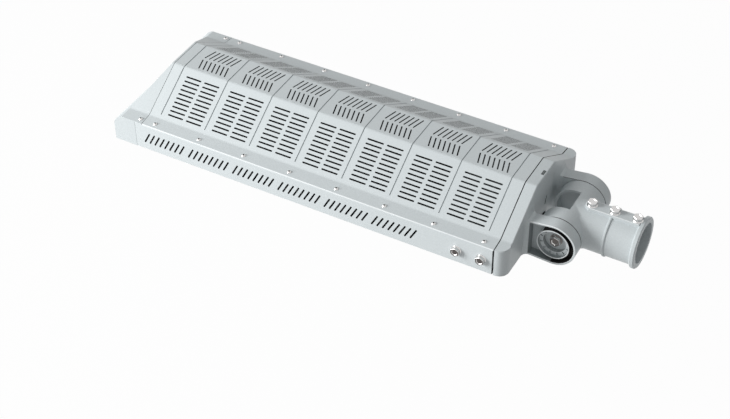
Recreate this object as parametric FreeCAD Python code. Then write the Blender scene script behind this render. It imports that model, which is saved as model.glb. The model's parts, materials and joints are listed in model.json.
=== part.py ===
"""Head of an LED street light with a tilting knuckle for a pole, in millimetres.

The origin is the centre of the pole socket's mouth and X runs out of that mouth.
The head lies along -X with its light shining down. Y runs across it and Z is up.
"""
import FreeCAD, Part

import math
import os

from FreeCAD import Rotation, Vector

# Driving dimensions of the pole socket
pole_bore = 61.6
bore_depth = 86.0
socket_wall = 4.4
collar_step = 3.9
collar_length = 7.2
collar_chamfer = 1.2
rib_height = 1.8
rib_width = 4.0
rib_chamfer = 1.0
rib_from_mouth = 48.7
pad_width = 20.0
pad_chamfer = 1.0
clamp_bolt_count = 3
clamp_bolt_pitch = 34.5
clamp_bolt_from_mouth = 12.7

# Driving dimensions of the tilting knuckle
pole_to_hinge = 111.8
hinge_to_housing = 43.4
hub_width = 90.8
hub_end_wall = 12.4
hub_wall = 4.0
hub_window_width = 42.0
hub_window_past_axis = 4.5
neck_leg_on_hub = 5.0
neck_leg_on_tube = 9.0
neck_drop = 0.1
ear_thickness = 20.4
ear_gap = 0.3
ear_rim = 3.0
ear_floor = 6.0
ear_arm_top = 29.0
ear_root_radius = 9.0
ear_pocket_from_housing = 6.5
boss_radius = 25.1
boss_hole_radius = 17.6
boss_below_rim = 1.0
boss_rim = 1.6
boss_ledge_depth = 6.5
notch_count = 12
notch_width = 2.2
notch_depth = 1.4
notch_from_hole = 1.2
notch_from_rim = 0.6
tooth_count = 24
tooth_depth = 1.2
tooth_inner_radius = 19.0
tooth_outer_radius = 30.0

# Driving dimensions of the head's section
body_width = 259.2
base_below_hinge = 32.8
side_height = 47.8
flange_width = 21.4
flange_rise = 2.8
ridge_width = 62.0
body_height = 99.8

# Driving dimensions along the head
rear_ring = 18.5
bay_pitch = 80.0
bay_count = 7
bay_front_margin = 18.5
bay_rear_margin = 21.0
cap_length = 53.5
cheek_setback = 13.5
seam_gap = 0.6
rail_end_gap = 1.8

# Walls and clearances
cover_sheet = 2.0
ridge_fold_radius = 7.0
foot_fold_radius = 8.0
rail_wall = 2.5
rail_lip_past_foot = 1.0
cap_wall = 3.0
housing_wall = 4.0
housing_corner_radius = 16.0
slide_clearance = 0.2
loose_clearance = 1.0
thread_clearance = 0.05
cutter_excess = 1.0
tolerance = 0.01

# Slots and grooves pressed in the cover
slope_slot_length = 27.5
slope_slot_width = 2.6
slope_slot_pitch = 7.37
slope_slot_rows = 10
slope_slot_from_ridge = 14.8
slope_slot_columns = 2
slope_slot_from_groove = 11.2
slope_slot_column_pitch = 32.8
ridge_slot_length = 23.7
ridge_slot_width = 2.2
ridge_slot_pitch = 7.8
ridge_slot_count = 7
ridge_slot_angle = 16.0
ridge_slot_from_groove = 19.2
ridge_slot_from_middle = 13.8
groove_width = 1.6
groove_depth = 0.9
groove_past_slots = 4.2

# Slots in the side rails
side_slot_length = 22.4
side_slot_width = 2.8
side_slot_pitch = 9.1
side_slot_count = 8
side_slot_lean = 28.6
side_slot_from_front = 8.2
side_slot_above_base = 23.0

# Nose of the front cap
nose_radius = 20.0
hip_foot_setback = 15.5
ridge_overrun = 3.5

# Light modules between the rails
module_count = 6
module_gap = 1.0
ledge_above_base = 5.0
ledge_thickness = 3.0
ledge_width = 13.0
sink_base = 4.0
sink_height = 32.8
fin_thickness = 2.0
fin_count = 7
fin_setback = 22.0
board_thickness = 1.6
board_border = 12.0
gasket_height = 2.0
gasket_width = 3.0
lens_sheet = 3.0
lens_border = 3.0
lens_bulge = 2.0
lens_taper = 3.0
lens_rows = 2
lens_count = 4
lens_block_length = 44.0
lens_block_width = 20.0

# Driver bay behind the modules
tray_sheet = 2.0
tray_wall_height = 40.0
driver_length = 190.0
driver_width = 64.0
driver_height = 38.0
driver_chamfer = 6.0
driver_foot = 12.0
driver_foot_thickness = 3.0
surge_length = 50.0
surge_width = 30.0
surge_height = 26.0
terminal_length = 42.0
terminal_width = 20.0
terminal_height = 16.0
terminal_ways = 3
terminal_mouth = 5.6
bay_spacing = 4.0
wiring_space = 40.0
lens_plate_gap = 0.5
bottom_screw_from_end = 12.0
bottom_sheet = 2.0
cable_hole_radius = 8.0
cable_hole_below_hinge = 18.0
grommet_lip = 2.4
grommet_lip_thickness = 1.5
grommet_bore_radius = 5.0
drain_slit_length = 12.4
drain_slit_width = 1.4
drain_slit_lean = 22.0
drain_slit_from_middle = 5.9
drain_slit_above_hinge = 12.5
vial_length = 10.6
vial_width = 4.4
vial_depth = 2.4
vial_from_rear = 4.6

# Fasteners
flange_sides = 24
shank_sides = 12
m8_shank_radius = 4.0
m8_across_flats = 13.0
m8_head_height = 5.3
m8_flange_radius = 8.0
m8_flange_height = 1.6
m10_shank_radius = 5.0
m10_across_flats = 15.0
m10_head_height = 5.0
m10_washer_radius = 9.5
m10_washer_height = 2.0
rail_bolt_from_seam = 19.3
rail_bolt_pitch = 39.1
rail_bolt_above_base = 22.6
rail_bolt_reach = 14.0
tongue_thickness = 8.0
tongue_length = 76.0
tongue_height = 21.0
small_screw_width = 6.0
small_screw_height = 2.2
cover_screw_from_edge = 8.5
cover_screw_from_groove = 1.4
cap_screw_from_seam = 7.0
module_screw_from_edge = 10.0
module_screw_from_end = 7.4

# Places that follow from the driving dimensions
socket_radius = pole_bore / 2 + socket_wall
collar_radius = pole_bore / 2 + socket_wall + collar_step
hinge_x = -pole_to_hinge
housing_x = hinge_x - hinge_to_housing
seam_x = housing_x - rear_ring
cover_front_x = seam_x - bay_rear_margin - bay_count * bay_pitch - bay_front_margin
front_x = cover_front_x - cap_length
rail_front_x = cover_front_x - cheek_setback
bay_end_x = cover_front_x + module_count * bay_pitch
side_y = body_width / 2
foot_y = side_y - flange_width
ridge_y = ridge_width / 2
base_z = -base_below_hinge
flange_z = base_z + side_height
foot_z = flange_z + flange_rise
top_z = base_z + body_height
ledge_z = base_z + ledge_above_base
ledge_top_z = ledge_z + ledge_thickness
rail_inner_y = side_y - rail_wall
ear_inner_y = hub_width / 2 + ear_gap
ear_outer_y = ear_inner_y + ear_thickness
ear_seat_y = ear_inner_y + ear_floor
slope_angle = math.degrees(math.atan2(top_z - foot_z, foot_y - ridge_y))
flange_angle = math.degrees(math.atan2(flange_rise, flange_width))


def vectors_x(points, x):
    """Points given as (y, z), standing in the plane at x."""
    return [Vector(x, y, z) for y, z in points]


def vectors_y(points, y):
    """Points given as (x, z), standing in the plane at y."""
    return [Vector(x, y, z) for x, z in points]


def face_of(corners):
    """Flat face with the given corners."""
    return Part.Face(Part.makePolygon(corners + corners[:1]))


def prism_x(points, start, end):
    """Outline of (y, z) points, drawn out along X."""
    return face_of(vectors_x(points, start)).extrude(Vector(end - start, 0, 0))


def prism_y(points, start, end):
    """Outline of (x, z) points, drawn out along Y."""
    return face_of(vectors_y(points, start)).extrude(Vector(0, end - start, 0))


def block(x_range, y_range, z_range):
    """Box between two places on each axis."""
    size = [high - low for low, high in (x_range, y_range, z_range)]
    return Part.makeBox(*size, Vector(x_range[0], y_range[0], z_range[0]))


def rod_x(radius, start, end):
    """Round bar along X, in line with the pole socket."""
    return Part.makeCylinder(radius, end - start, Vector(start, 0, 0), Vector(1, 0, 0))


def rod_y(radius, start, end, x, z=0.0):
    """Round bar along Y."""
    return Part.makeCylinder(radius, end - start, Vector(x, start, z), Vector(0, 1, 0))


def mirrored(shape):
    """The same shape on the other side of the head's middle plane."""
    return shape.mirror(Vector(0, 0, 0), Vector(0, 1, 0))


def both_sides(shape):
    """The shape and its mirror image across the head's middle plane."""
    return [shape, mirrored(shape)]


def placed(shape, point, axis):
    """Move a shape drawn on the origin, along Z, to a point and an axis."""
    moved = shape.copy()
    moved.Placement = FreeCAD.Placement(point, Rotation(Vector(0, 0, 1), axis))
    return moved


def moved_by(shape, x=0.0, y=0.0, z=0.0):
    """Copy of a shape at another place."""
    copy = shape.copy()
    copy.translate(Vector(x, y, z))
    return copy


def sided_bar(radius, height, sides, start=0.0):
    """Bar with flat sides along Z, its corners on a circle about the origin."""
    turns = [2 * math.pi * i / sides for i in range(sides)]
    corners = [Vector(radius * math.cos(turn), radius * math.sin(turn), start) for turn in turns]
    return face_of(corners).extrude(Vector(0, 0, height))


def hex_bar(across_flats, height):
    """Six-sided bar standing on the origin."""
    return sided_bar(across_flats / math.sqrt(3), height, 6)


def flanged_bolt(shank_length):
    """M8 flanged bolt whose seat is the plane Z = 0, with its shank pointing down."""
    head = moved_by(hex_bar(m8_across_flats, m8_head_height), z=m8_flange_height)
    flange = sided_bar(m8_flange_radius, m8_flange_height, flange_sides)
    shank = sided_bar(m8_shank_radius, shank_length, shank_sides, -shank_length)
    return head.fuse([flange, shank])


def tangent_point(point, centre, radius, side):
    """Where a line from point touches a circle, in the XZ plane; side is +1 for its upper touch."""
    dx = point[0] - centre[0]
    dz = point[1] - centre[1]
    distance = math.hypot(dx, dz)
    angle = math.atan2(dz, dx) - side * math.acos(radius / distance)
    return (centre[0] + radius * math.cos(angle), centre[1] + radius * math.sin(angle))


def rounding(corner, before, after, radius):
    """Start, middle and end of the arc that rounds a corner between the points before and after it."""
    back = (before - corner).normalize()
    ahead = (after - corner).normalize()
    half = back.getAngle(ahead) / 2
    reach = radius / math.tan(half)
    middle = corner + (back + ahead).normalize() * (radius / math.sin(half) - radius)
    return corner + back * reach, middle, corner + ahead * reach


def rounded_wire(corners, radii):
    """Closed wire through corner points, each rounded by an arc of its own radius."""
    stops = []
    edges = []
    for i, (corner, radius) in enumerate(zip(corners, radii)):
        if radius:
            start, middle, end = rounding(corner, corners[i - 1], corners[(i + 1) % len(corners)], radius)
            edges.append(Part.Arc(start, middle, end).toShape())
            stops.append((start, end))
        else:
            stops.append((corner, corner))
    for i, (start, _) in enumerate(stops):
        edges.append(Part.makeLine(stops[i - 1][1], start))
    return Part.Wire(Part.__sortEdges__(edges))


def body_outline(inset=0.0):
    """Section of the head as a closed wire in the plane x = 0, moved inwards by inset."""
    right = [(side_y, base_z), (side_y, flange_z), (foot_y, foot_z), (ridge_y, top_z)]
    left = [(-y, z) for y, z in reversed(right)]
    radii = [0, 0, foot_fold_radius, ridge_fold_radius]
    wire = rounded_wire(vectors_x(right + left, 0), radii + radii[::-1])
    if inset:
        wire = wire.makeOffset2D(-inset, 2)
    return wire


def body_prism(start, end, inset=0.0):
    """The head's section drawn out along X."""
    face = Part.Face(body_outline(inset))
    face.translate(Vector(start, 0, 0))
    return face.extrude(Vector(end - start, 0, 0))


def roof_path(depth):
    """Points (y, z) along the roof, from one edge to the other, depth below its skin."""
    tilt = math.radians(flange_angle)
    slope = math.radians(slope_angle)
    foot_turn = math.tan((slope - tilt) / 2)
    ridge_turn = math.tan(slope / 2)
    foot = (foot_y - depth * (math.sin(tilt) + math.cos(tilt) * foot_turn),
            foot_z - depth * (math.cos(tilt) - math.sin(tilt) * foot_turn))
    half = [(side_y, flange_z - depth / math.cos(tilt)), foot, (ridge_y - depth * ridge_turn, top_z - depth)]
    return half + [(-y, z) for y, z in reversed(half)]


def roof_strip(high, low, start, end):
    """The roof between two depths below its skin, with its folds rounded, drawn out along X."""
    corners = vectors_x(roof_path(high) + roof_path(low)[::-1], start)
    radii = []
    for depth in (high, low):
        half = [0, foot_fold_radius + depth, ridge_fold_radius - depth]
        radii += half + half[::-1]
    return Part.Face(rounded_wire(corners, radii)).extrude(Vector(end - start, 0, 0))


def under_flange(y):
    """Height of the underside of the cover's flange at y."""
    sheet = cover_sheet / math.cos(math.radians(flange_angle))
    return flange_z + (side_y - y) * flange_rise / flange_width - sheet


def groove_positions():
    """Places along X of the grooves between the cover's bays."""
    first = cover_front_x + bay_front_margin
    return [first + i * bay_pitch for i in range(bay_count + 1)]


def on_slope(shape, along_slope):
    """Turn a cutter drawn at the origin so that it lies in the slope at +Y, measured down from the ridge."""
    turned = shape.copy()
    turned.rotate(Vector(0, 0, 0), Vector(1, 0, 0), -slope_angle)
    fall = math.radians(slope_angle)
    turned.translate(Vector(0, ridge_y + along_slope * math.cos(fall), top_z - along_slope * math.sin(fall)))
    return turned


def slope_slots(groove_x):
    """Cutters for the rows of slots on both slopes of one bay."""
    depth = 4 * cover_sheet
    cutters = []
    for column in range(slope_slot_columns):
        start = groove_x + slope_slot_from_groove + column * slope_slot_column_pitch
        for row in range(slope_slot_rows):
            half = slope_slot_width / 2
            slot = block((start, start + slope_slot_length), (-half, half), (-depth / 2, depth / 2))
            slot = on_slope(slot, slope_slot_from_ridge + row * slope_slot_pitch)
            cutters += both_sides(slot)
    return cutters


def ridge_slots(groove_x):
    """Cutters for the chevrons of slots on the ridge of one bay."""
    cutters = []
    half_x = ridge_slot_width / 2
    half_y = ridge_slot_length / 2
    for i in range(ridge_slot_count):
        slot = block((-half_x, half_x), (-half_y, half_y), (top_z - 2 * cover_sheet, top_z + cover_sheet))
        slot.rotate(Vector(0, 0, 0), Vector(0, 0, 1), -ridge_slot_angle)
        x = groove_x + ridge_slot_from_groove + i * ridge_slot_pitch
        slot.translate(Vector(x, ridge_slot_from_middle, 0))
        cutters += both_sides(slot)
    return cutters


def groove_ring(groove_x):
    """Cutter for one groove that runs up a slope, over the ridge and down the other slope."""
    last_slot = slope_slot_from_ridge + (slope_slot_rows - 1) * slope_slot_pitch
    end_y = ridge_y + (last_slot + groove_past_slots) * math.cos(math.radians(slope_angle))
    ring = roof_strip(-groove_width, groove_depth, groove_x - groove_width / 2, groove_x + groove_width / 2)
    around = block((groove_x - groove_width, groove_x + groove_width), (-end_y, end_y), (base_z, 2 * top_z))
    return ring.common(around)


def make_top_cover():
    """Folded and slotted sheet that roofs the modules and the driver bay."""
    sheet = roof_strip(0, cover_sheet, cover_front_x + seam_gap / 2, seam_x - seam_gap)
    cutters = [groove_ring(x) for x in groove_positions()]
    for x in groove_positions()[:-1]:
        cutters += slope_slots(x) + ridge_slots(x)
    return sheet.cut(cutters)


def make_rail():
    """Extruded side rail at +Y with its rows of slanting slots and two bolt holes."""
    lip_y = foot_y + rail_lip_past_foot
    section = [
        (side_y, base_z),
        (side_y, under_flange(side_y)),
        (lip_y, under_flange(lip_y)),
        (lip_y, under_flange(lip_y) - rail_wall),
        (rail_inner_y, under_flange(rail_inner_y) - rail_wall),
        (rail_inner_y, ledge_top_z),
        (rail_inner_y - ledge_width, ledge_top_z),
        (rail_inner_y - ledge_width, ledge_z),
        (rail_inner_y, ledge_z),
        (rail_inner_y, base_z),
    ]
    rail = prism_x(section, rail_front_x + seam_gap / 2, seam_x - rail_end_gap)
    cutters = []
    half_x = side_slot_width / 2
    half_z = side_slot_length / 2
    for module in range(module_count):
        for i in range(side_slot_count):
            slot = block((-half_x, half_x), (side_y - 2 * rail_wall, side_y + rail_wall), (-half_z, half_z))
            slot.rotate(Vector(0, 0, 0), Vector(0, 1, 0), side_slot_lean)
            x = cover_front_x + side_slot_from_front + module * bay_pitch + i * side_slot_pitch
            slot.translate(Vector(x, 0, base_z + side_slot_above_base))
            cutters.append(slot)
    for x in rail_bolt_places():
        cutters.append(rod_y(m8_shank_radius + slide_clearance, side_y - 2 * rail_wall, side_y + rail_wall, x,
                             rail_bolt_z()))
    return rail.cut(cutters)


def rail_bolt_places():
    """Places along X of the bolts that hold a rail to the rear housing."""
    first = seam_x - rail_bolt_from_seam
    return [first, first - rail_bolt_pitch]


def rail_bolt_z():
    """Height of the rail bolts."""
    return base_z + rail_bolt_above_base


def cap_profile(end):
    """Side view of the head's nose and hip as a closed wire at y = 0, with its flat end at end."""
    centre = Vector(front_x + nose_radius, 0, flange_z - nose_radius)
    foot_dx = nose_radius - hip_foot_setback
    foot = Vector(front_x + hip_foot_setback, 0, centre.z + math.sqrt(nose_radius**2 - foot_dx**2))
    chin = Vector(front_x, 0, centre.z)
    bend = math.radians(135)
    middle = centre + Vector(nose_radius * math.cos(bend), 0, nose_radius * math.sin(bend))
    corners = [chin, Vector(front_x, 0, base_z), Vector(end, 0, base_z), Vector(end, 0, top_z),
               Vector(cover_front_x - ridge_overrun, 0, top_z), foot]
    edges = [Part.makeLine(a, b) for a, b in zip(corners, corners[1:])]
    edges.append(Part.Arc(foot, middle, chin).toShape())
    return Part.Wire(edges)


def cap_form(inset, end):
    """The cap's outer form, or its hollow when moved inwards by inset, from the nose to end."""
    wire = cap_profile(end + inset)
    if inset:
        wire = wire.makeOffset2D(-inset)
    face = Part.Face(wire)
    face.translate(Vector(0, -side_y, 0))
    side_form = face.extrude(Vector(0, body_width, 0))
    return side_form.common(body_prism(front_x, end, inset))


def make_front_cap():
    """Hollow hipped end of the head, open towards the modules, with its roof reaching over the rails."""
    cap = cap_form(0, cover_front_x - seam_gap / 2).cut(cap_form(cap_wall, cover_front_x + cutter_excess))
    cheek_y = rail_inner_y - slide_clearance
    outer_y = side_y + cutter_excess
    low_z = base_z - cutter_excess
    rail_space = [(outer_y, low_z), (outer_y, under_flange(outer_y)), (foot_y, under_flange(foot_y)),
                  (foot_y, ledge_z), (cheek_y, ledge_z), (cheek_y, low_z)]
    return cap.cut(both_sides(prism_x(rail_space, rail_front_x, cover_front_x + cutter_excess)))


def ear_wire():
    """Side view of one ear and its arm as a closed wire at y = 0."""
    root_x = housing_x - housing_wall / 2
    top_touch, low_touch = ear_touches()
    edges = [
        Part.makeLine(Vector(root_x, 0, base_z), Vector(root_x, 0, ear_arm_top)),
        Part.makeLine(Vector(root_x, 0, ear_arm_top), top_touch),
        Part.Arc(top_touch, Vector(hinge_x + socket_radius, 0, 0), low_touch).toShape(),
        Part.makeLine(low_touch, Vector(root_x, 0, base_z)),
    ]
    return Part.Wire(edges)


def ear_touches():
    """Where the arm's top and bottom edges meet the ear's round end."""
    root_x = housing_x - housing_wall / 2
    points = []
    for z, side in ((ear_arm_top, 1), (base_z, -1)):
        x, z = tangent_point((root_x, z), (hinge_x, 0.0), socket_radius, side)
        points.append(Vector(x, 0, z))
    return points


def rooted_ear_wire():
    """The ear's side view with its top edge curving up into the back wall."""
    root_x = housing_x - housing_wall / 2
    top_touch, low_touch = ear_touches()
    rise = (top_touch.z - ear_arm_top) / (top_touch.x - root_x)
    corner = Vector(housing_x, 0, ear_arm_top + rise * (housing_x - root_x))
    start, middle, end = rounding(corner, corner + Vector(0, 0, 1), top_touch, ear_root_radius)
    path = [low_touch, Vector(root_x, 0, base_z), Vector(root_x, 0, start.z), start]
    edges = [Part.makeLine(a, b) for a, b in zip(path, path[1:])]
    edges += [
        Part.Arc(start, middle, end).toShape(),
        Part.makeLine(end, top_touch),
        Part.Arc(top_touch, Vector(hinge_x + socket_radius, 0, 0), low_touch).toShape(),
    ]
    return Part.Wire(edges)


def drawn_across(wire, start, end):
    """A wire that stands at y = 0, filled and drawn out along Y."""
    face = Part.Face(wire)
    face.translate(Vector(0, start, 0))
    return face.extrude(Vector(0, end - start, 0))


def make_ear():
    """Ear and arm of the fork at +Y, with its root spreading into the back wall."""
    root_x = housing_x - housing_wall / 2
    spread = 2 * ear_root_radius
    sides = [
        Vector(root_x, ear_inner_y - spread, base_z), Vector(housing_x, ear_inner_y - spread, base_z),
        Vector(housing_x, ear_inner_y, base_z), Vector(housing_x + spread, ear_inner_y, base_z),
        Vector(housing_x + spread, ear_outer_y, base_z), Vector(housing_x, ear_outer_y, base_z),
        Vector(housing_x, ear_outer_y + spread, base_z), Vector(root_x, ear_outer_y + spread, base_z),
    ]
    radii = [0, 0, ear_root_radius, 0, 0, ear_root_radius, 0, 0]
    root = Part.Face(rounded_wire(sides, radii)).extrude(Vector(0, 0, body_height))
    wide = drawn_across(rooted_ear_wire(), ear_inner_y - spread, ear_outer_y + spread)
    root = root.common(wide).common(body_prism(seam_x, hinge_x))
    return drawn_across(rooted_ear_wire(), ear_inner_y, ear_outer_y).fuse(root)


def teeth(face_y, depth):
    """Cutters for a ring of radial grooves sunk into the plane y = face_y, depth deep along Y."""
    pitch_half = math.pi * tooth_outer_radius / tooth_count / 2
    groove = face_of([Vector(tooth_inner_radius, 0, -pitch_half), Vector(tooth_inner_radius, depth, 0),
                      Vector(tooth_inner_radius, 0, pitch_half)])
    groove = groove.extrude(Vector(tooth_outer_radius - tooth_inner_radius, 0, 0))
    groove.translate(Vector(hinge_x, face_y, 0))
    cutters = []
    for i in range(tooth_count):
        copy = groove.copy()
        copy.rotate(Vector(hinge_x, 0, 0), Vector(0, 1, 0), 360.0 * i / tooth_count)
        cutters.append(copy)
    return cutters


def ear_cutters():
    """Everything cut from the ear at +Y: pocket, boss ledge with notches, bolt bore and teeth."""
    pocket_start = housing_x + ear_pocket_from_housing
    pocket = drawn_across(ear_wire().makeOffset2D(-ear_rim, 2), ear_seat_y, ear_outer_y + cutter_excess)
    pocket = pocket.common(block((pocket_start, 0), (0, body_width), (-body_height, body_height)))
    boss_top = ear_outer_y - boss_below_rim
    pocket = pocket.cut(rod_y(boss_radius, 0, boss_top, hinge_x))
    ledge_y = boss_top - boss_ledge_depth
    ledge_radius = boss_radius - boss_rim
    cutters = [
        pocket,
        rod_y(ledge_radius, ledge_y, ear_outer_y, hinge_x),
        rod_y(boss_hole_radius, ear_seat_y, ear_outer_y, hinge_x),
        rod_y(m10_shank_radius + thread_clearance, 0, ear_outer_y, hinge_x),
    ]
    notch_x = (hinge_x + boss_hole_radius + notch_from_hole, hinge_x + ledge_radius - notch_from_rim)
    notch_y = (ledge_y - notch_depth, ledge_y + cutter_excess)
    for i in range(notch_count):
        notch = block(notch_x, notch_y, (-notch_width / 2, notch_width / 2))
        notch.rotate(Vector(hinge_x, 0, 0), Vector(0, 1, 0), 360.0 * (i + 0.5) / notch_count)
        cutters.append(notch)
    return cutters + teeth(ear_inner_y, tooth_depth)


def make_rear_housing():
    """Casting that closes the rear, carries the rails on two tongues and forms the fork of the knuckle."""
    shell = body_prism(seam_x, housing_x)
    corners = [e for e in shell.Edges if abs(abs(e.CenterOfMass.y) - side_y) < tolerance
               and abs(e.CenterOfMass.x - housing_x) < tolerance and e.BoundBox.ZLength > side_height / 2]
    shell = shell.makeFillet(min(housing_corner_radius, rear_ring - cutter_excess), corners)
    hollow = body_prism(seam_x - cutter_excess, housing_x - housing_wall, housing_wall)
    shell = shell.cut(hollow)
    housing = shell.fuse(both_sides(make_tongue()) + both_sides(make_ear())).removeSplitter()
    cutters = ear_cutters()
    cutters = cutters + [mirrored(c) for c in cutters]
    return housing.cut(cutters + [cable_bore(), drain_slit(), vial_space(0.0)])


def make_tongue():
    """Bar inside the rail at +Y that carries the rail, with holes for its bolts."""
    outer_y = rail_inner_y - slide_clearance
    half = tongue_height / 2
    tongue = block((seam_x - tongue_length, housing_x - housing_wall), (outer_y - tongue_thickness, outer_y),
                   (rail_bolt_z() - half, rail_bolt_z() + half))
    radius = m8_shank_radius + thread_clearance
    inner_y = outer_y - 2 * tongue_thickness
    return tongue.cut([rod_y(radius, inner_y, side_y, x, rail_bolt_z()) for x in rail_bolt_places()])


def cable_bore():
    """Cutter for the cable hole in the back wall."""
    bore = rod_x(cable_hole_radius, housing_x - 2 * housing_wall, housing_x + cutter_excess)
    return moved_by(bore, z=-cable_hole_below_hinge)


def drain_slit():
    """Cutter for the narrow leaning slit in the back wall between the ears."""
    half_y = drain_slit_width / 2
    half_z = drain_slit_length / 2
    through = (housing_x - 2 * housing_wall, housing_x + cutter_excess)
    slit = block(through, (-half_y, half_y), (-half_z, half_z))
    slit.rotate(Vector(0, 0, 0), Vector(1, 0, 0), -drain_slit_lean)
    return moved_by(slit, y=drain_slit_from_middle, z=drain_slit_above_hinge)


def vial_space(clearance):
    """Space of the level vial in the top of the rear housing."""
    middle = housing_x - vial_from_rear
    half = vial_width / 2 - clearance
    return block((middle - half, middle + half), (clearance - vial_length / 2, vial_length / 2 - clearance),
                 (top_z - vial_depth, top_z + (0.0 if clearance else cutter_excess)))


def make_level_vial():
    """Small level vial set in the top of the rear housing."""
    return vial_space(thread_clearance)


def make_pole_spigot():
    """Cast pole socket with its collar, rib, clamp pad and the hollow hub of the knuckle."""
    hub = rod_y(socket_radius, -hub_width / 2, hub_width / 2, hinge_x)
    spigot = hub.fuse([lathe_x(socket_profile()), make_clamp_pad()] + both_sides(neck_gusset()))
    bore = rod_x(pole_bore / 2, -bore_depth, cutter_excess)
    cavity_y = hub_width / 2 - hub_end_wall
    cavity = rod_y(socket_radius - hub_wall, -cavity_y, cavity_y, hinge_x)
    outer = socket_radius + cutter_excess
    window = block((hinge_x - outer, hinge_x + hub_window_past_axis),
                   (-hub_window_width / 2, hub_window_width / 2), (-outer, outer))
    cutters = [bore, cavity, window]
    for x in clamp_bolt_places():
        hole = Part.makeCylinder(m8_shank_radius + thread_clearance, 2 * collar_radius, Vector(x, 0, 0))
        cutters.append(hole)
    pivot_radius = m10_shank_radius + thread_clearance
    cutters += both_sides(rod_y(pivot_radius, cavity_y - cutter_excess, hub_width, hinge_x))
    for groove in teeth(hub_width / 2, -tooth_depth):
        cutters += both_sides(groove)
    return spigot.cut(cutters).removeSplitter()


def lathe_x(profile):
    """Shape turned about the pole socket's axis from an outline of (x, radius) points."""
    return face_of(vectors_y(profile, 0)).revolve(Vector(0, 0, 0), Vector(1, 0, 0), 360)


def socket_profile():
    """Outline (x, radius) of the pole socket with its rib and collar, from the hinge to the mouth."""
    rib_start = -rib_from_mouth - rib_width / 2
    rib_end = -rib_from_mouth + rib_width / 2
    rib_radius = socket_radius + rib_height
    return [
        (hinge_x, 0), (hinge_x, socket_radius), (rib_start, socket_radius),
        (rib_start, rib_radius - rib_chamfer), (rib_start + rib_chamfer, rib_radius),
        (rib_end - rib_chamfer, rib_radius), (rib_end, rib_radius - rib_chamfer), (rib_end, socket_radius),
        (-collar_length, socket_radius), (-collar_length, collar_radius - collar_chamfer),
        (collar_chamfer - collar_length, collar_radius), (-collar_chamfer, collar_radius),
        (0, collar_radius - collar_chamfer), (0, 0),
    ]


def make_clamp_pad():
    """Round-ended pad along the top of the pole socket for its clamp bolts, with a chamfered top."""
    last_x = clamp_bolt_places()[-1]
    half = pad_width / 2
    shoulder = collar_radius - pad_chamfer
    section = [(-half, 0), (half, 0), (half, shoulder), (half - pad_chamfer, collar_radius),
               (pad_chamfer - half, collar_radius), (-half, shoulder)]
    end = Part.makeCylinder(half, shoulder, Vector(last_x, 0, 0))
    end_top = Part.makeCone(half, half - pad_chamfer, pad_chamfer, Vector(last_x, 0, shoulder))
    return prism_x(section, last_x, -collar_length).fuse([end, end_top])


def neck_gusset():
    """Cast web that fills the corner between the hub and the tube at +Y, thinning out towards the top."""
    turn = math.atan2(neck_leg_on_hub, neck_leg_on_tube)
    outwards = Vector(math.sin(turn), math.cos(turn), 0)
    along = Vector(math.cos(turn), -math.sin(turn), 0)
    web = neck_leg_on_hub * neck_leg_on_tube / math.hypot(neck_leg_on_hub, neck_leg_on_tube)
    half_length = socket_radius * (outwards.x + outwards.y) + web
    centre = Vector(hinge_x, 0, 0)
    crown = Vector(hinge_x, 0, socket_radius - neck_drop)
    face = Part.Face(Part.Wire(Part.Ellipse(centre + outwards * half_length, crown, centre).toShape()))
    reach = 2 * hub_width
    face.translate(along * -reach / 2)
    beside = (0, hub_width / 2 - ear_gap)
    corner = block((hinge_x, hinge_x + 2 * socket_radius), beside, (-socket_radius, socket_radius))
    return face.extrude(along * reach).common(corner)


def clamp_bolt_places():
    """Places along X of the bolts that clamp the pole, from the mouth inwards."""
    return [-clamp_bolt_from_mouth - i * clamp_bolt_pitch for i in range(clamp_bolt_count)]


def make_clamp_bolts():
    """Flanged bolts in the pad of the pole socket."""
    bolt = flanged_bolt(collar_radius - pole_bore / 2 - thread_clearance)
    return [placed(bolt, Vector(x, 0, collar_radius), Vector(0, 0, 1)) for x in clamp_bolt_places()]


def make_pivot_bolt():
    """Pivot bolt at +Y, screwed into the hub through the ear."""
    seat = ear_seat_y + m10_washer_height
    head = placed(hex_bar(m10_across_flats, m10_head_height), Vector(hinge_x, seat, 0), Vector(0, 1, 0))
    return head.fuse(rod_y(m10_shank_radius, hub_width / 2 - hub_end_wall, seat, hinge_x))


def make_pivot_washer():
    """Washer between the pivot bolt's head at +Y and its ear."""
    height = m10_washer_height - ear_gap
    disc = sided_bar(m10_washer_radius, height, flange_sides)
    hole_radius = (m10_shank_radius + thread_clearance) / math.cos(math.pi / flange_sides)
    washer = disc.cut(sided_bar(hole_radius, height, flange_sides))
    return placed(washer, Vector(hinge_x, ear_seat_y + ear_gap, 0), Vector(0, 1, 0))


def make_rail_bolts():
    """Flanged bolts through both rails into the tongues of the rear housing."""
    bolt = flanged_bolt(rail_bolt_reach)
    bolts = []
    for x in rail_bolt_places():
        bolts += both_sides(placed(bolt, Vector(x, side_y, rail_bolt_z()), Vector(0, 1, 0)))
    return bolts


def small_screw():
    """Head of a small hexagon screw, with its thread left out."""
    return hex_bar(small_screw_width, small_screw_height)


def make_cover_screws():
    """Screws along both flanges of the cover, one beside each groove."""
    tilt = math.radians(flange_angle)
    y = side_y - cover_screw_from_edge
    z = flange_z + cover_screw_from_edge * math.tan(tilt)
    screws = []
    for x in groove_positions():
        screw = placed(small_screw(), Vector(x + cover_screw_from_groove, y, z),
                       Vector(0, math.sin(tilt), math.cos(tilt)))
        screws += both_sides(screw)
    return screws


def make_cap_screws():
    """Screws that hold the front cap's flanges to the rails."""
    tilt = math.radians(flange_angle)
    y = side_y - cover_screw_from_edge
    z = flange_z + cover_screw_from_edge * math.tan(tilt)
    axis = Vector(0, math.sin(tilt), math.cos(tilt))
    return both_sides(placed(small_screw(), Vector(cover_front_x - cap_screw_from_seam, y, z), axis))


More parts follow.
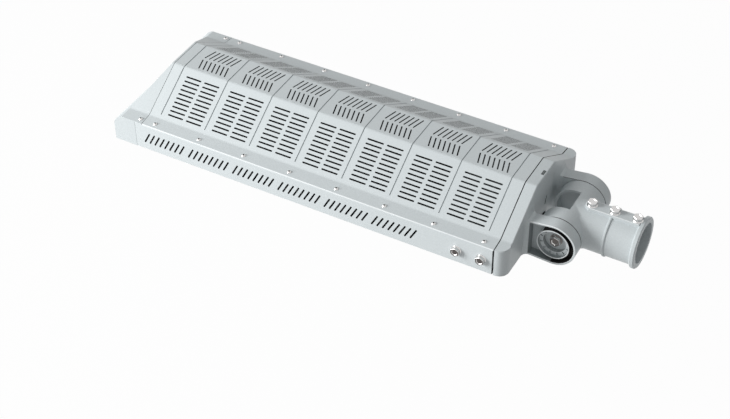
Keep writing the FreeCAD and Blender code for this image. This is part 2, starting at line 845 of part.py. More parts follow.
def module_start(index):
    """Front edge of one light module along X."""
    return cover_front_x + index * bay_pitch + module_gap / 2


def module_length():
    """Length of one light module along X."""
    return bay_pitch - module_gap


def make_heatsink(index):
    """Extruded heat sink whose base rests on the ledges of both rails."""
    start = module_start(index)
    end = start + module_length()
    half = rail_inner_y - loose_clearance
    base = block((start, end), (-half, half), (ledge_top_z, ledge_top_z + sink_base))
    first = start + 2 * fin_thickness
    step = (module_length() - 5 * fin_thickness) / (fin_count - 1)
    width = (fin_setback - half, half - fin_setback)
    height = (ledge_top_z + sink_base / 2, ledge_top_z + sink_height)
    places = [first + i * step for i in range(fin_count)]
    return base.fuse([block((x, x + fin_thickness), width, height) for x in places])


def lens_half_width():
    """Half of the lens plate's width, between the ledges of the rails."""
    return rail_inner_y - ledge_width - 2 * lens_plate_gap


def make_led_board(index):
    """Circuit board under the heat sink's base."""
    start = module_start(index) + board_border
    end = module_start(index) + module_length() - board_border
    half = lens_half_width() - board_border
    return block((start, end), (-half, half), (ledge_top_z - board_thickness, ledge_top_z))


def make_gasket(index):
    """Sealing ring between the heat sink and the lens plate."""
    start = module_start(index) + lens_border
    end = module_start(index) + module_length() - lens_border
    half = lens_half_width() - lens_border
    z_range = (ledge_top_z - gasket_height, ledge_top_z)
    inner = half - gasket_width
    ring = block((start, end), (-half, half), z_range)
    return ring.cut(block((start + gasket_width, end - gasket_width), (-inner, inner), z_range))


def lens_block(x, y, top):
    """One raised lens under the plate, tapering downwards."""
    wide = lens_block_width / 2
    long = lens_block_length / 2
    low = top - lens_bulge
    across = [(x - wide, top), (x + wide, top), (x + wide - lens_taper, low), (x - wide + lens_taper, low)]
    along = [(y - long, top), (y + long, top), (y + long - lens_taper, low), (y - long + lens_taper, low)]
    return prism_y(across, y - long, y + long).common(prism_x(along, x - wide, x + wide))


def make_lens_plate(index):
    """Clear plate with raised lenses that closes one module from below."""
    start = module_start(index) + lens_plate_gap
    end = module_start(index) + module_length() - lens_plate_gap
    half = lens_half_width()
    top = ledge_top_z - gasket_height
    plate = block((start, end), (-half, half), (top - lens_sheet, top))
    lenses = []
    for row in range(lens_rows):
        x = start + (end - start) * (row + 0.5) / lens_rows
        for i in range(lens_count):
            y = half * ((i + 0.5) * 2 / lens_count - 1)
            lenses.append(lens_block(x, y, top - lens_sheet))
    return plate.fuse(lenses)


def make_module_screws():
    """Screws that hold each heat sink to the ledges of the rails."""
    y = side_y - module_screw_from_edge
    screws = []
    for index in range(module_count):
        for x in (module_screw_from_end, module_length() - module_screw_from_end):
            point = Vector(module_start(index) + x, y, ledge_top_z + sink_base)
            screws += both_sides(placed(small_screw(), point, Vector(0, 0, 1)))
    return screws


def make_driver_tray():
    """Folded tray on the rail ledges, with a wall towards the modules."""
    start = bay_end_x + module_gap
    end = seam_x - module_gap
    z = ledge_top_z
    section = [(start, z), (end, z), (end, z + tray_sheet), (start + tray_sheet, z + tray_sheet),
               (start + tray_sheet, z + tray_wall_height), (start, z + tray_wall_height)]
    half = rail_inner_y - loose_clearance
    wall_half = foot_y - 2 * rail_wall
    trim = block((start - cutter_excess, start + 2 * tray_sheet), (wall_half, side_y),
                 (z + tray_sheet, z + 2 * tray_wall_height))
    return prism_y(section, -half, half).cut(both_sides(trim))


def driver_x():
    """Front face of the LED driver along X."""
    return bay_end_x + module_gap + tray_sheet + bay_spacing


def make_led_driver():
    """Sealed driver with chamfered case and a foot at each end."""
    floor = ledge_top_z + tray_sheet
    start = driver_x()
    end = start + driver_width
    roof = floor + driver_height
    c = driver_chamfer
    section = [
        (start, floor), (end, floor), (end, roof - c), (end - c, roof), (start + c, roof), (start, roof - c),
    ]
    case = prism_y(section, -driver_length / 2, driver_length / 2)
    reach = driver_length / 2 + driver_foot
    foot = block((start + c, end - c), (-reach, reach), (floor, floor + driver_foot_thickness))
    return case.fuse(foot)


def make_surge_protector():
    """Surge protector block beside the driver."""
    floor = ledge_top_z + tray_sheet
    start = driver_x() + driver_width + bay_spacing
    side = wiring_space / 2
    return block((start, start + surge_width), (side, side + surge_length), (floor, floor + surge_height))


def make_terminal_block():
    """Terminal block with one opening for each wire."""
    floor = ledge_top_z + tray_sheet
    start = driver_x() + driver_width + bay_spacing
    end = start + terminal_width
    side = -wiring_space / 2
    body = block((start, end), (side - terminal_length, side), (floor, floor + terminal_height))
    through = (start - cutter_excess, end + cutter_excess)
    height = (floor + terminal_height / 3, floor + terminal_height * 2 / 3)
    half = terminal_mouth / 2
    step = terminal_length / terminal_ways
    middles = [side - (i + 0.5) * step for i in range(terminal_ways)]
    return body.cut([block(through, (y - half, y + half), height) for y in middles])


def make_bottom_cover():
    """Sheet panel that closes the driver bay from below, with its edges turned up to the ledges."""
    half = rail_inner_y - 2 * slide_clearance
    inner = half - bottom_sheet
    section = [
        (-half, base_z), (half, base_z), (half, ledge_z), (inner, ledge_z),
        (inner, base_z + bottom_sheet), (-inner, base_z + bottom_sheet), (-inner, ledge_z), (-half, ledge_z),
    ]
    return prism_x(section, bay_end_x + module_gap, seam_x - module_gap)


def make_bottom_cover_screws():
    """Screws that hold the bottom panel from below."""
    y = rail_inner_y - ledge_width / 2
    screws = []
    for x in (bay_end_x + bottom_screw_from_end, seam_x - bottom_screw_from_end):
        screws += both_sides(placed(small_screw(), Vector(x, y, base_z), Vector(0, 0, -1)))
    return screws


def make_cable_grommet():
    """Rubber grommet in the back wall, where the cable passes from the knuckle."""
    lip_radius = cable_hole_radius + grommet_lip
    length = housing_wall + 2 * grommet_lip_thickness
    core = sided_bar(cable_hole_radius - thread_clearance, length, flange_sides)
    lips = [sided_bar(lip_radius, grommet_lip_thickness, flange_sides, start)
            for start in (0, length - grommet_lip_thickness)]
    hole = sided_bar(grommet_bore_radius, length, flange_sides)
    point = Vector(housing_x - housing_wall - grommet_lip_thickness, 0, -cable_hole_below_hinge)
    return placed(core.fuse(lips).cut(hole), point, Vector(1, 0, 0))


def all_pieces():
    """Every node's name with its solid or its group of like solids."""
    pieces = {
        "top_cover": make_top_cover(),
        "front_cap": make_front_cap(),
        "rear_housing": make_rear_housing(),
        "right_rail": make_rail(),
        "left_rail": mirrored(make_rail()),
        "pole_spigot": make_pole_spigot(),
        "clamp_bolts": make_clamp_bolts(),
        "left_pivot_bolt": mirrored(make_pivot_bolt()),
        "right_pivot_bolt": make_pivot_bolt(),
        "left_pivot_washer": mirrored(make_pivot_washer()),
        "right_pivot_washer": make_pivot_washer(),
        "rail_bolts": make_rail_bolts(),
        "cover_screws": make_cover_screws(),
        "cap_screws": make_cap_screws(),
        "module_screws": make_module_screws(),
        "level_vial": make_level_vial(),
        "cable_grommet": make_cable_grommet(),
        "driver_tray": make_driver_tray(),
        "led_driver": make_led_driver(),
        "surge_protector": make_surge_protector(),
        "terminal_block": make_terminal_block(),
        "bottom_cover": make_bottom_cover(),
        "bottom_cover_screws": make_bottom_cover_screws(),
    }
    for index in range(module_count):
        number = index + 1
        pieces[f"heatsink_{number}"] = make_heatsink(index)
        pieces[f"led_board_{number}"] = make_led_board(index)
        pieces[f"lens_gasket_{number}"] = make_gasket(index)
        pieces[f"lens_plate_{number}"] = make_lens_plate(index)
    return pieces


def write_pieces():
    """Write one STEP file for each node."""
    os.makedirs("parts", exist_ok=True)
    for name, shape in all_pieces().items():
        solids = shape if isinstance(shape, list) else [shape]
        solids = [solid for item in solids for solid in item.Solids]
        result = solids[0] if len(solids) == 1 else Part.makeCompound(solids)
        result.exportStep(f"parts/{name}.step")
        print(name, len(solids), "valid" if result.isValid() else "NOT VALID", round(result.Volume))


write_pieces()
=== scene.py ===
"""Looks of an LED street light head with a tilting knuckle, dressed round its CAD parts, in metres.

X runs out of the pole socket's mouth, Y across the head and Z up, as in the frame.
"""

import json
import math

import bmesh
import bpy
from mathutils import Matrix, Vector


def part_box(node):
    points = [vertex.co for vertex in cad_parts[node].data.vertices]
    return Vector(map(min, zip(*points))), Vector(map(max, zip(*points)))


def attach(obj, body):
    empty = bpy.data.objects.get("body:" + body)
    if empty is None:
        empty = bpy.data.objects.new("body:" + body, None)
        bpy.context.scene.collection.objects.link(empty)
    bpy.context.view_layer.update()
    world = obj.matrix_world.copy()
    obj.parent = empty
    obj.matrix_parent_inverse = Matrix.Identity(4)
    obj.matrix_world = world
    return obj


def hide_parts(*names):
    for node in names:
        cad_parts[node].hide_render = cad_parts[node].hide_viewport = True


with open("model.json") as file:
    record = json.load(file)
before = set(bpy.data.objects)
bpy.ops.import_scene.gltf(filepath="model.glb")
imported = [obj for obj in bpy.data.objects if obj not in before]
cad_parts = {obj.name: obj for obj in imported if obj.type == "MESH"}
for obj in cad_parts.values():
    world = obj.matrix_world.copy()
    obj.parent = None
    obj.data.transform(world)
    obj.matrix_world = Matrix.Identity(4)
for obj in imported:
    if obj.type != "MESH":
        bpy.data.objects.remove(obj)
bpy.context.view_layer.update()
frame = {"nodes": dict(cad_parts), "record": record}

MM = 0.001

# Flakes of the powder coat, drawn as coarse as they need to show
flake_spread = 1.5 * MM

# Orange peel of the powder coat on smooth metal and on castings: its size across and its depth
smooth_peel = (1.6 * MM, 0.02 * MM)
cast_peel = (2.2 * MM, 0.03 * MM)

# Camera of the photograph
camera_place = Vector((0.4769, -1.6602, 1.5524))
camera_azimuth = math.radians(29.258)
camera_elevation = math.radians(41.424)
camera_roll = math.radians(-0.528)
camera_lens = 79.4
camera_sensor = 36.0

# Studio: the floor and how much of its white is plain, the sky's light on the head, and the soft box
floor_z = -0.78
floor_size = 20.0
floor_white = 0.97
sky_light = 0.38
key_place = (-3.15, -2.04, 1.23)
key_size = 2.0
key_power = 160.0
lamp_target = (-0.45, 0, 0)

# Finishes of the pressed sheet and of the castings, in the order of their faces' material numbers.
# The recess stands second in each of them, because the faces of every slot cutter carry its number.
# Besides the coat, these hold painted shade for grooves, pockets and cuts and painted highlights for rims.
sheet_finishes = ("painted_sheet", "recess", "painted_rim_highlight", "painted_groove_shade")
rail_finishes = ("painted_rail", "recess")
cast_finishes = ("painted_cast", "recess", "painted_pocket_shade", "painted_rim_highlight")

# Making: gaps that count as none, slopes of a face's normal, angles between faces, and roundings
weld_gap = 0.001 * MM
section_gap = 0.01 * MM
near = 0.05 * MM
facing = 0.9
side_facing = 0.5
flat_angle = math.radians(0.3)
flat_facet = math.radians(5)
sharp_angle = math.radians(32)
smooth_limit = math.radians(35)
round_segments = 3
slot_arc_steps = 6

# Shallow folds of the pressed sheet that get a bend radius
shallow_fold = math.radians(12)
long_fold = 5.0 * MM
fold_reach = 2.4 * MM

# Roof section and the slots and grooves pressed in it
seam_gap = 0.6 * MM
cover_sheet = 2.0 * MM
flange_width = 21.4 * MM
flange_rise = 2.8 * MM
ridge_half = 31.0 * MM
bay_pitch = 80.0 * MM
bay_count = 7
first_groove = 18.5 * MM
slope_slot = Vector((27.5, 2.6)) * MM
slope_slot_pitch = 7.37 * MM
slope_slot_rows = 10
slope_slot_from_ridge = 14.8 * MM
slope_slot_from_groove = 11.2 * MM
slope_slot_columns = 2
slope_slot_column_pitch = 32.8 * MM
ridge_slot = Vector((2.2, 23.7)) * MM
ridge_slot_pitch = 7.8 * MM
ridge_slot_count = 7
ridge_slot_angle = math.radians(16.0)
ridge_slot_from_groove = 19.2 * MM
ridge_slot_from_middle = 13.8 * MM
groove_width = 1.6 * MM
groove_depth = 0.9 * MM
groove_past_slots = 4.2 * MM
sheet_edge = 0.5 * MM

# Side rails and their slots
rail_edge = 0.9 * MM
rail_front_setback = 13.5 * MM
side_slot = Vector((2.8, 22.4)) * MM
side_slot_pitch = 9.1 * MM
side_slot_count = 8
side_slot_groups = 6
side_slot_lean = math.radians(28.6)
side_slot_from_front = 8.2 * MM
side_slot_above_base = 23.0 * MM

# Fasteners
fine_edge = 0.15 * MM
sides_of_hexagon = 6
head_chamfer = 0.08
head_land = 0.12
head_dish = 0.06
flange_taper = 0.86
m8_flats = 13.0 * MM
m8_flange = 8.0 * MM
m8_flange_height = 1.6 * MM
m8_flange_steps = 40
m8_head_height = 5.3 * MM
m10_flats = 15.0 * MM
m10_head_height = 5.0 * MM
m10_head_turn = math.radians(12)
m10_hole_radius = 5.05 * MM
flat_washer_radius = 9.5 * MM
flat_washer_share = 0.55
spring_washer_radius = 8.0 * MM
washer_steps = 48
button_radius = 3.4 * MM
button_rim = 0.4 * MM
button_height = 2.3 * MM
button_socket_radius = 1.25 * MM
button_socket_depth = 1.2 * MM
button_steps = 20
button_rows = 5

# Castings
casting_edge = 0.3 * MM
cap_edge = 0.5 * MM

# Knuckle
hinge_x = -111.8 * MM
socket_radius = 35.2 * MM
hub_end_y = 45.4 * MM
ear_inner_y = 45.7 * MM
ear_seat_y = 51.7 * MM
ear_outer_y = 66.1 * MM
ear_wall_radius = 33.5 * MM
boss_radius = 25.1 * MM
boss_ledge_radius = 23.5 * MM
boss_top_y = 65.1 * MM
groove_start_x = hinge_x - 18.0 * MM
pocket_start_x = -149.5 * MM
pocket_middle_x = hinge_x - 12.0 * MM
joint_shadow = 0.5 * MM
rim_round = 0.7 * MM
rear_edge_round = 1.8 * MM
neck_start = 5.0 * MM
neck_from_hub_end = 2.6 * MM
neck_on_hub = 0.26
neck_on_tube = 0.38
neck_rows = 48
neck_strips = 14

# Seams, slit and rounded corners of the rear casting
seam_shadow = 0.45 * MM
seam_x = -173.7 * MM
housing_x = -155.2 * MM
roof_foot_z = 14.0 * MM
slit_middle = Vector((5.9, 12.5)) * MM
slit_reach = 7.0 * MM
slit_size = Vector((12.4, 2.4)) * MM
slit_lean = math.radians(-22)
corner_middle = Vector((-170.9, 113.9)) * MM
corner_radius = 15.7 * MM
corner_turn = math.radians(49)
corner_steps = 96
strip_half_turn = math.radians(30)
strip_below = 0.05 * MM
strip_heights = (-31.0 * MM, 13.4 * MM)
tongue_end_depth = 1.0 * MM

# Level vial
vial_wall = 0.8 * MM
vial_well = 0.7 * MM
vial_tube_radius = 1.1 * MM
vial_tube_edge = 0.3 * MM
vial_steps = 24
vial_bar = Vector((0.9, 0.5)) * MM
vial_bar_spacing = 3.4 * MM

# Light modules
module_count = 6
lens_rows = 2
lens_blocks = 4
lenses_in_block = 4
lens_pitch = 9.6 * MM
lens_radius = 4.2 * MM
lens_rise = 1.0 * MM
lens_steps = 20
lens_dome_rows = 6
chip_size = Vector((5.0, 5.0, 0.3)) * MM
chip_edge = 0.1 * MM


def linear(hex_colour):
    """Linear RGBA of an sRGB colour written as hex digits."""
    channels = [int(hex_colour[i:i + 2], 16) / 255 for i in (1, 3, 5)]
    return [c / 12.92 if c <= 0.04045 else ((c + 0.055) / 1.055) ** 2.4 for c in channels] + [1.0]


def add_node(tree, kind, values=(), **settings):
    """Add a node with its own settings and what goes into its inputs, a value or another node's output."""
    node = tree.nodes.new(kind)
    for name, value in settings.items():
        setattr(node, name, value)
    for key, value in dict(values).items():
        if isinstance(value, bpy.types.NodeSocket):
            tree.links.new(value, node.inputs[key])
        else:
            node.inputs[key].default_value = value
    return node


def new_material(name, values):
    """Material with a principled shader; also its tree, its shader and its Object coordinates."""
    material = bpy.data.materials.new(name)
    material.use_nodes = True
    tree = material.node_tree
    shader = tree.nodes["Principled BSDF"]
    for key, value in values.items():
        shader.inputs[key].default_value = value
    place = add_node(tree, "ShaderNodeTexCoord")
    return material, tree, shader, place.outputs["Object"]


def grain(tree, coords, size, detail=2.0, stretch=(1, 1, 1)):
    """Noise whose patches are about size across, drawn out along an axis by stretch."""
    scaled = add_node(tree, "ShaderNodeVectorMath", {0: coords, 1: [1 / s for s in stretch]},
                      operation="MULTIPLY")
    noise = add_node(tree, "ShaderNodeTexNoise",
                     {"Vector": scaled.outputs[0], "Scale": 1 / size, "Detail": detail})
    return noise.outputs["Fac"]


def colour_between(tree, shader, factor, dark, light):
    """Let the base colour wander between two shades."""
    mix = add_node(tree, "ShaderNodeMix", {"Factor": factor, "A": linear(dark), "B": linear(light)},
                   data_type="RGBA")
    tree.links.new(mix.outputs[2], shader.inputs["Base Color"])


def roughness_between(tree, shader, factor, low, high):
    """Let the roughness wander between two values."""
    span = add_node(tree, "ShaderNodeMapRange", {"Value": factor, "To Min": low, "To Max": high})
    tree.links.new(span.outputs["Result"], shader.inputs["Roughness"])


def raise_surface(tree, shader, height, depth):
    """Bump the surface by a height pattern that is depth deep."""
    bump = add_node(tree, "ShaderNodeBump", {"Height": height, "Distance": depth, "Strength": 1.0})
    tree.links.new(bump.outputs["Normal"], shader.inputs["Normal"])


def powder_coat(name, dark, light, peel, depth):
    """Satin polyester powder coat with a trace of metal flake: pale grey, speckled when seen close."""
    values = {"Roughness": 0.45, "IOR": 1.5, "Specular IOR Level": 0.5}
    material, tree, shader, coords = new_material(name, values)
    colour_between(tree, shader, grain(tree, coords, flake_spread, 3.0), dark, light)
    fine = grain(tree, coords, peel, 3.0)
    roughness_between(tree, shader, fine, 0.38, 0.52)
    raise_surface(tree, shader, fine, depth)
    return material


def polished_stainless():
    """Polished stainless steel: near mirror, with fine rubbing marks that soften its reflections."""
    material, tree, shader, coords = new_material("polished_stainless", {"Metallic": 1.0})
    marks = grain(tree, coords, 0.6 * MM, 4.0, (1, 6, 1))
    colour_between(tree, shader, marks, "#BDBBBA", "#E2E1E0")
    roughness_between(tree, shader, marks, 0.12, 0.26)
    raise_surface(tree, shader, marks, 0.01 * MM)
    return material


def plated_steel():
    """Zinc plated steel: grey with a faint warm cast and cloudy patches."""
    material, tree, shader, coords = new_material("zinc_plated_steel", {"Metallic": 1.0})
    clouds = grain(tree, coords, 3 * MM, 4.0)
    colour_between(tree, shader, clouds, "#7C7876", "#9A9694")
    roughness_between(tree, shader, clouds, 0.28, 0.45)
    raise_surface(tree, shader, grain(tree, coords, 0.5 * MM), 0.01 * MM)
    return material


def painted_dark_reflection_steel():
    """End faces of rolled hexagon heads: dark brownish grey painted reflection, with a dull metal sheen."""
    material, tree, shader, coords = new_material("painted_dark_reflection_steel", {"Metallic": 1.0})
    clouds = grain(tree, coords, 2 * MM, 4.0)
    colour_between(tree, shader, clouds, "#4A4644", "#6A6664")
    roughness_between(tree, shader, clouds, 0.3, 0.5)
    raise_surface(tree, shader, grain(tree, coords, 0.5 * MM), 0.01 * MM)
    return material


def mill_aluminium():
    """Rolled aluminium sheet: dull silver with long rolling lines along the head."""
    material, tree, shader, coords = new_material("rolled_aluminium", {"Metallic": 1.0})
    lines = grain(tree, coords, 0.5 * MM, 3.0, (30, 1, 1))
    colour_between(tree, shader, lines, "#A9ABAD", "#C8CACB")
    roughness_between(tree, shader, lines, 0.3, 0.42)
    raise_surface(tree, shader, lines, 0.005 * MM)
    return material


def black_anodised():
    """Black anodised extrusion: deep grey black with faint die lines along the fins."""
    material, tree, shader, coords = new_material("black_anodised_aluminium", {"Metallic": 0.4})
    lines = grain(tree, coords, 0.6 * MM, 2.0, (1, 40, 1))
    colour_between(tree, shader, lines, "#17181A", "#26282A")
    roughness_between(tree, shader, lines, 0.4, 0.55)
    raise_surface(tree, shader, lines, 0.01 * MM)
    return material


def grey_anodised():
    """Bead blasted and anodised aluminium case: fine even grey grain."""
    material, tree, shader, coords = new_material("grey_anodised_aluminium", {"Metallic": 0.8})
    blast = grain(tree, coords, 0.4 * MM)
    colour_between(tree, shader, blast, "#6E7173", "#7E8183")
    roughness_between(tree, shader, blast, 0.42, 0.56)
    raise_surface(tree, shader, blast, 0.02 * MM)
    return material


def moulded_plastic(name, dark, light):
    """Spark eroded nylon moulding: matt, with a fine even texture."""
    material, tree, shader, coords = new_material(name, {"IOR": 1.53})
    spark = grain(tree, coords, 0.5 * MM)
    colour_between(tree, shader, grain(tree, coords, 8 * MM), dark, light)
    roughness_between(tree, shader, spark, 0.5, 0.65)
    raise_surface(tree, shader, spark, 0.02 * MM)
    return material


def silicone_rubber():
    """Matt silicone rubber: near black with a dry, slightly dusty bloom."""
    material, tree, shader, coords = new_material("silicone_rubber", {"IOR": 1.41})
    bloom = grain(tree, coords, 5 * MM, 4.0)
    colour_between(tree, shader, bloom, "#1B1C1D", "#2B2C2D")
    roughness_between(tree, shader, bloom, 0.65, 0.85)
    raise_surface(tree, shader, grain(tree, coords, 0.4 * MM), 0.02 * MM)
    return material


def painted_depth_shade():
    """Near-black painted shade in cuts, seams, joints and sockets, so that they read as depth."""
    material, tree, shader, coords = new_material("painted_shade_in_recesses", {"Roughness": 0.7})
    colour_between(tree, shader, grain(tree, coords, 0.4 * MM), "#070708", "#121213")
    raise_surface(tree, shader, grain(tree, coords, 0.2 * MM), 0.01 * MM)
    return material


def phosphor():
    """Silicone filled with yellow phosphor on each LED: soft and slightly grainy."""
    values = {"Roughness": 0.4, "Subsurface Weight": 0.1}
    material, tree, shader, coords = new_material("led_phosphor", values)
    powder = grain(tree, coords, 0.15 * MM, 3.0)
    colour_between(tree, shader, powder, "#D9B84A", "#E8CE6B")
    raise_surface(tree, shader, powder, 0.01 * MM)
    return material


def vial_glass():
    """Curved glass tube of the level: dark greenish liquid with a clear sheen."""
    material, tree, shader, coords = new_material("vial_glass", {"Roughness": 0.08, "Coat Weight": 0.6})
    liquid = grain(tree, coords, 2 * MM)
    colour_between(tree, shader, liquid, "#6C7675", "#858F8D")
    raise_surface(tree, shader, liquid, 0.01 * MM)
    return material


def solder_mask():
    """White solder mask over copper: smooth and slightly glossy, with the tracks showing as faint steps."""
    material, tree, shader, coords = new_material("white_solder_mask", {"IOR": 1.55})
    tracks = add_node(tree, "ShaderNodeTexBrick",
                      {"Vector": coords, "Scale": 1.0, "Brick Width": 22 * MM, "Row Height": 8 * MM,
                       "Mortar Size": 0.6 * MM, "Color1": (1, 1, 1, 1), "Color2": (1, 1, 1, 1),
                       "Mortar": (0, 0, 0, 1)})
    colour_between(tree, shader, tracks.outputs["Color"], "#D2D3CD", "#E8E8E3")
    roughness_between(tree, shader, grain(tree, coords, 2 * MM), 0.25, 0.35)
    raise_surface(tree, shader, tracks.outputs["Color"], 0.05 * MM)
    return material


def clear_polycarbonate():
    """Clear moulded polycarbonate: glassy, with a trace of flow marks from the mould."""
    values = {"Base Color": linear("#F4F7F8"), "IOR": 1.585, "Transmission Weight": 0.92}
    material, tree, shader, coords = new_material("clear_polycarbonate", values)
    flow = grain(tree, coords, 12 * MM, 2.0, (1, 3, 1))
    roughness_between(tree, shader, flow, 0.04, 0.10)
    raise_surface(tree, shader, flow, 0.03 * MM)
    return material


def make_materials():
    """Every finish by the record's slot that it belongs to."""
    return {
        "painted_sheet": powder_coat("powder_coated_sheet", "#C2C9CB", "#D9E0E2", *smooth_peel),
        "painted_rail": powder_coat("powder_coated_extrusion", "#C2C9CB", "#D9E0E2", *smooth_peel),
        "painted_cast": powder_coat("powder_coated_casting", "#BEC5C7", "#D6DDDF", *cast_peel),
        # Darker coats are painted shade in pockets and grooves; the lighter one is a painted highlight on
        # rims.
        "painted_pocket_shade": powder_coat("painted_shade_in_pockets", "#858C8E", "#9AA1A3", *cast_peel),
        "painted_groove_shade": powder_coat("painted_shade_in_pressed_grooves", "#A6ADAF", "#B8BFC1", *smooth_peel),
        "painted_rim_highlight": powder_coat("painted_highlight_on_rims", "#E2E7E9", "#F0F4F5", *smooth_peel),
        "stainless": polished_stainless(),
        "zinc_steel": plated_steel(),
        "painted_dark_reflection_steel": painted_dark_reflection_steel(),
        "vial": moulded_plastic("dark_vial_plastic", "#2B3030", "#3A4040"),
        "rubber": silicone_rubber(),
        "bare_aluminium": mill_aluminium(),
        "driver_case": grey_anodised(),
        "black_plastic": moulded_plastic("black_nylon", "#141415", "#1E1E20"),
        "white_plastic": moulded_plastic("white_nylon", "#CFCEC8", "#DCDBD6"),
        "black_aluminium": black_anodised(),
        "board": solder_mask(),
        "clear_lens": clear_polycarbonate(),
        "recess": painted_depth_shade(),
        "phosphor": phosphor(),
        "vial_glass": vial_glass(),
    }


def slot_of(node):
    """The record's slot of a node."""
    return next(part["material_slot"] for part in frame["record"]["subparts"] if part["node"] == node)


def body_of(node):
    """The body that a node rides on."""
    return next(body for body, nodes in frame["record"]["behaviour"]["bodies"].items() if node in nodes)


def dress_node(node, edge):
    """Keep a CAD node, with its edges eased by a small bevel and its slot's material."""
    obj = frame["nodes"][node]
    obj.data.materials.clear()
    obj.data.materials.append(materials[slot_of(node)])
    ease_edges(obj, edge)


def ease_edges(obj, edge, loose=True):
    """Bevel a mesh's sharp edges and shade it smoothly, loose triangles first welded and merged."""
    if loose:
        weld = obj.modifiers.new("weld", "WELD")
        weld.merge_threshold = weld_gap
        flatten = obj.modifiers.new("flatten", "DECIMATE")
        flatten.decimate_type = "DISSOLVE"
        flatten.angle_limit = flat_angle
    if edge:
        bevel = obj.modifiers.new("ease", "BEVEL")
        bevel.width = edge
        bevel.segments = 2
        bevel.limit_method = "ANGLE"
        bevel.angle_limit = sharp_angle
        bevel.miter_outer = "MITER_ARC"
    smooth = obj.modifiers.new("even_shading", "WEIGHTED_NORMAL")
    smooth.keep_sharp = True
    for polygon in obj.data.polygons:
        polygon.use_smooth = True


def new_piece(name, bm, nodes, edge=0.0, sharp=smooth_limit, finishes=(), replaces=True):
    """Make a piece of a bmesh that stands for some CAD nodes or joins them, on their body.

    It takes their material, or its own finishes in the order of its faces' material numbers.
    """
    mesh = bpy.data.meshes.new(name)
    bm.to_mesh(mesh)
    bm.free()
    for polygon in mesh.polygons:
        polygon.use_smooth = True
    mesh.set_sharp_from_angle(angle=sharp)
    for finish in finishes or [slot_of(nodes[0])]:
        mesh.materials.append(materials[finish])
    piece = bpy.data.objects.new(name, mesh)
    bpy.context.scene.collection.objects.link(piece)
    ease_edges(piece, edge, loose=False)
    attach(piece, body_of(nodes[0]))
    if replaces:
        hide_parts(*nodes)


def copied(mesh, places):
    """A bmesh with a copy of a mesh at each place, mirrored ones turned right side out again."""
    bm = bmesh.new()
    for place in places:
        copy = mesh.copy()
        copy.transform(place)
        if place.determinant() < 0:
            copy.flip_normals()
        bm.from_mesh(copy)
        bpy.data.meshes.remove(copy)
    return bm


def as_mesh(bm, name):
    """A mesh of a bmesh, which is used up."""
    mesh = bpy.data.meshes.new(name)
    bm.to_mesh(mesh)
    bm.free()
    return mesh


def welded(node):
    """A CAD node's loose triangles as one welded bmesh."""
    bm = bmesh.new()
    bm.from_mesh(frame["nodes"][node].data)
    bmesh.ops.remove_doubles(bm, verts=bm.verts, dist=weld_gap)
    return bm


def moved_verts(geometry):
    """The vertices in what an operator gives back."""
    return [g for g in geometry if isinstance(g, bmesh.types.BMVert)]


def lies_at(part, x):
    """Whether all of an edge or a face lies at a place along the head."""
    return all(abs(v.co.x - x) < near for v in part.verts)


def lies_out(part, y):
    """Whether all of an edge or a face lies at a distance from the head's middle plane."""
    return all(abs(abs(v.co.y) - y) < near for v in part.verts)


def ease(bm, chosen, width, segments=2, finish=-1):
    """Round the sharp outer edges that a test picks, keeping or setting the finish of the new faces."""
    edges = [e for e in bm.edges if e.is_manifold and e.is_convex and e.calc_face_angle() > sharp_angle
             and chosen(e)]
    bmesh.ops.bevel(bm, geom=edges, offset=width, offset_type="OFFSET", segments=segments, profile=0.5,
                    affect="EDGES", clamp_overlap=False, material=finish)


def mirrored_places(places):
    """The places and their mirror images across the head's middle plane."""
    flip = Matrix.Scale(-1, 4, Vector((0, 1, 0)))
    return places + [flip @ place for place in places]


def slot_cutter(size, depth):
    """Mesh of a round-ended slot of a size along X and Y, standing depth up and down from the origin."""
    length, width = max(size), min(size)
    bm = bmesh.new()
    half_step = Matrix.Rotation(math.pi / (2 * slot_arc_steps), 4, "Z")
    bmesh.ops.create_circle(bm, cap_ends=True, segments=2 * slot_arc_steps, radius=width / 2,
                            matrix=half_step)
    for vert in bm.verts:
        vert.co.x += math.copysign((length - width) / 2, vert.co.x)
    bmesh.ops.translate(bm, verts=bm.verts, vec=(0, 0, -depth))
    up = bmesh.ops.extrude_face_region(bm, geom=bm.faces[:])["geom"]
    bmesh.ops.translate(bm, verts=moved_verts(up), vec=(0, 0, 2 * depth))
    if size[1] > size[0]:
        bmesh.ops.rotate(bm, verts=bm.verts, matrix=Matrix.Rotation(math.pi / 2, 3, "Z"))
    bmesh.ops.recalc_face_normals(bm, faces=bm.faces)
    # The cut walls take the near-black finish: painted shade inside the slots.
    for face in bm.faces:
        face.material_index = sheet_finishes.index("recess")
    return as_mesh(bm, "slot_cutter")


def end_section(node):
    """The flat front end of a drawn-out CAD node as one face in a bmesh."""
    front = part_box(node)[0].x
    bm = welded(node)
    others = [f for f in bm.faces if max(v.co.x for v in f.verts) > front + section_gap]
    bmesh.ops.delete(bm, geom=others, context="FACES")
    bmesh.ops.dissolve_faces(bm, faces=bm.faces)
    return bm


def soften_folds(bm, start_x):
    """Give the shallow folds that run along X behind a place the bend radius of pressed sheet."""
    folds = [e for e in bm.edges if e.is_manifold and shallow_fold < e.calc_face_angle() < sharp_angle
             and all(v.co.x > start_x - near for v in e.verts) and e.calc_length() > long_fold
             and (e.verts[1].co - e.verts[0].co).normalized().yz.length < near]
    bmesh.ops.bevel(bm, geom=folds, offset=fold_reach, offset_type="OFFSET", segments=round_segments,
                    profile=0.5, affect="EDGES", clamp_overlap=False, material=-1)


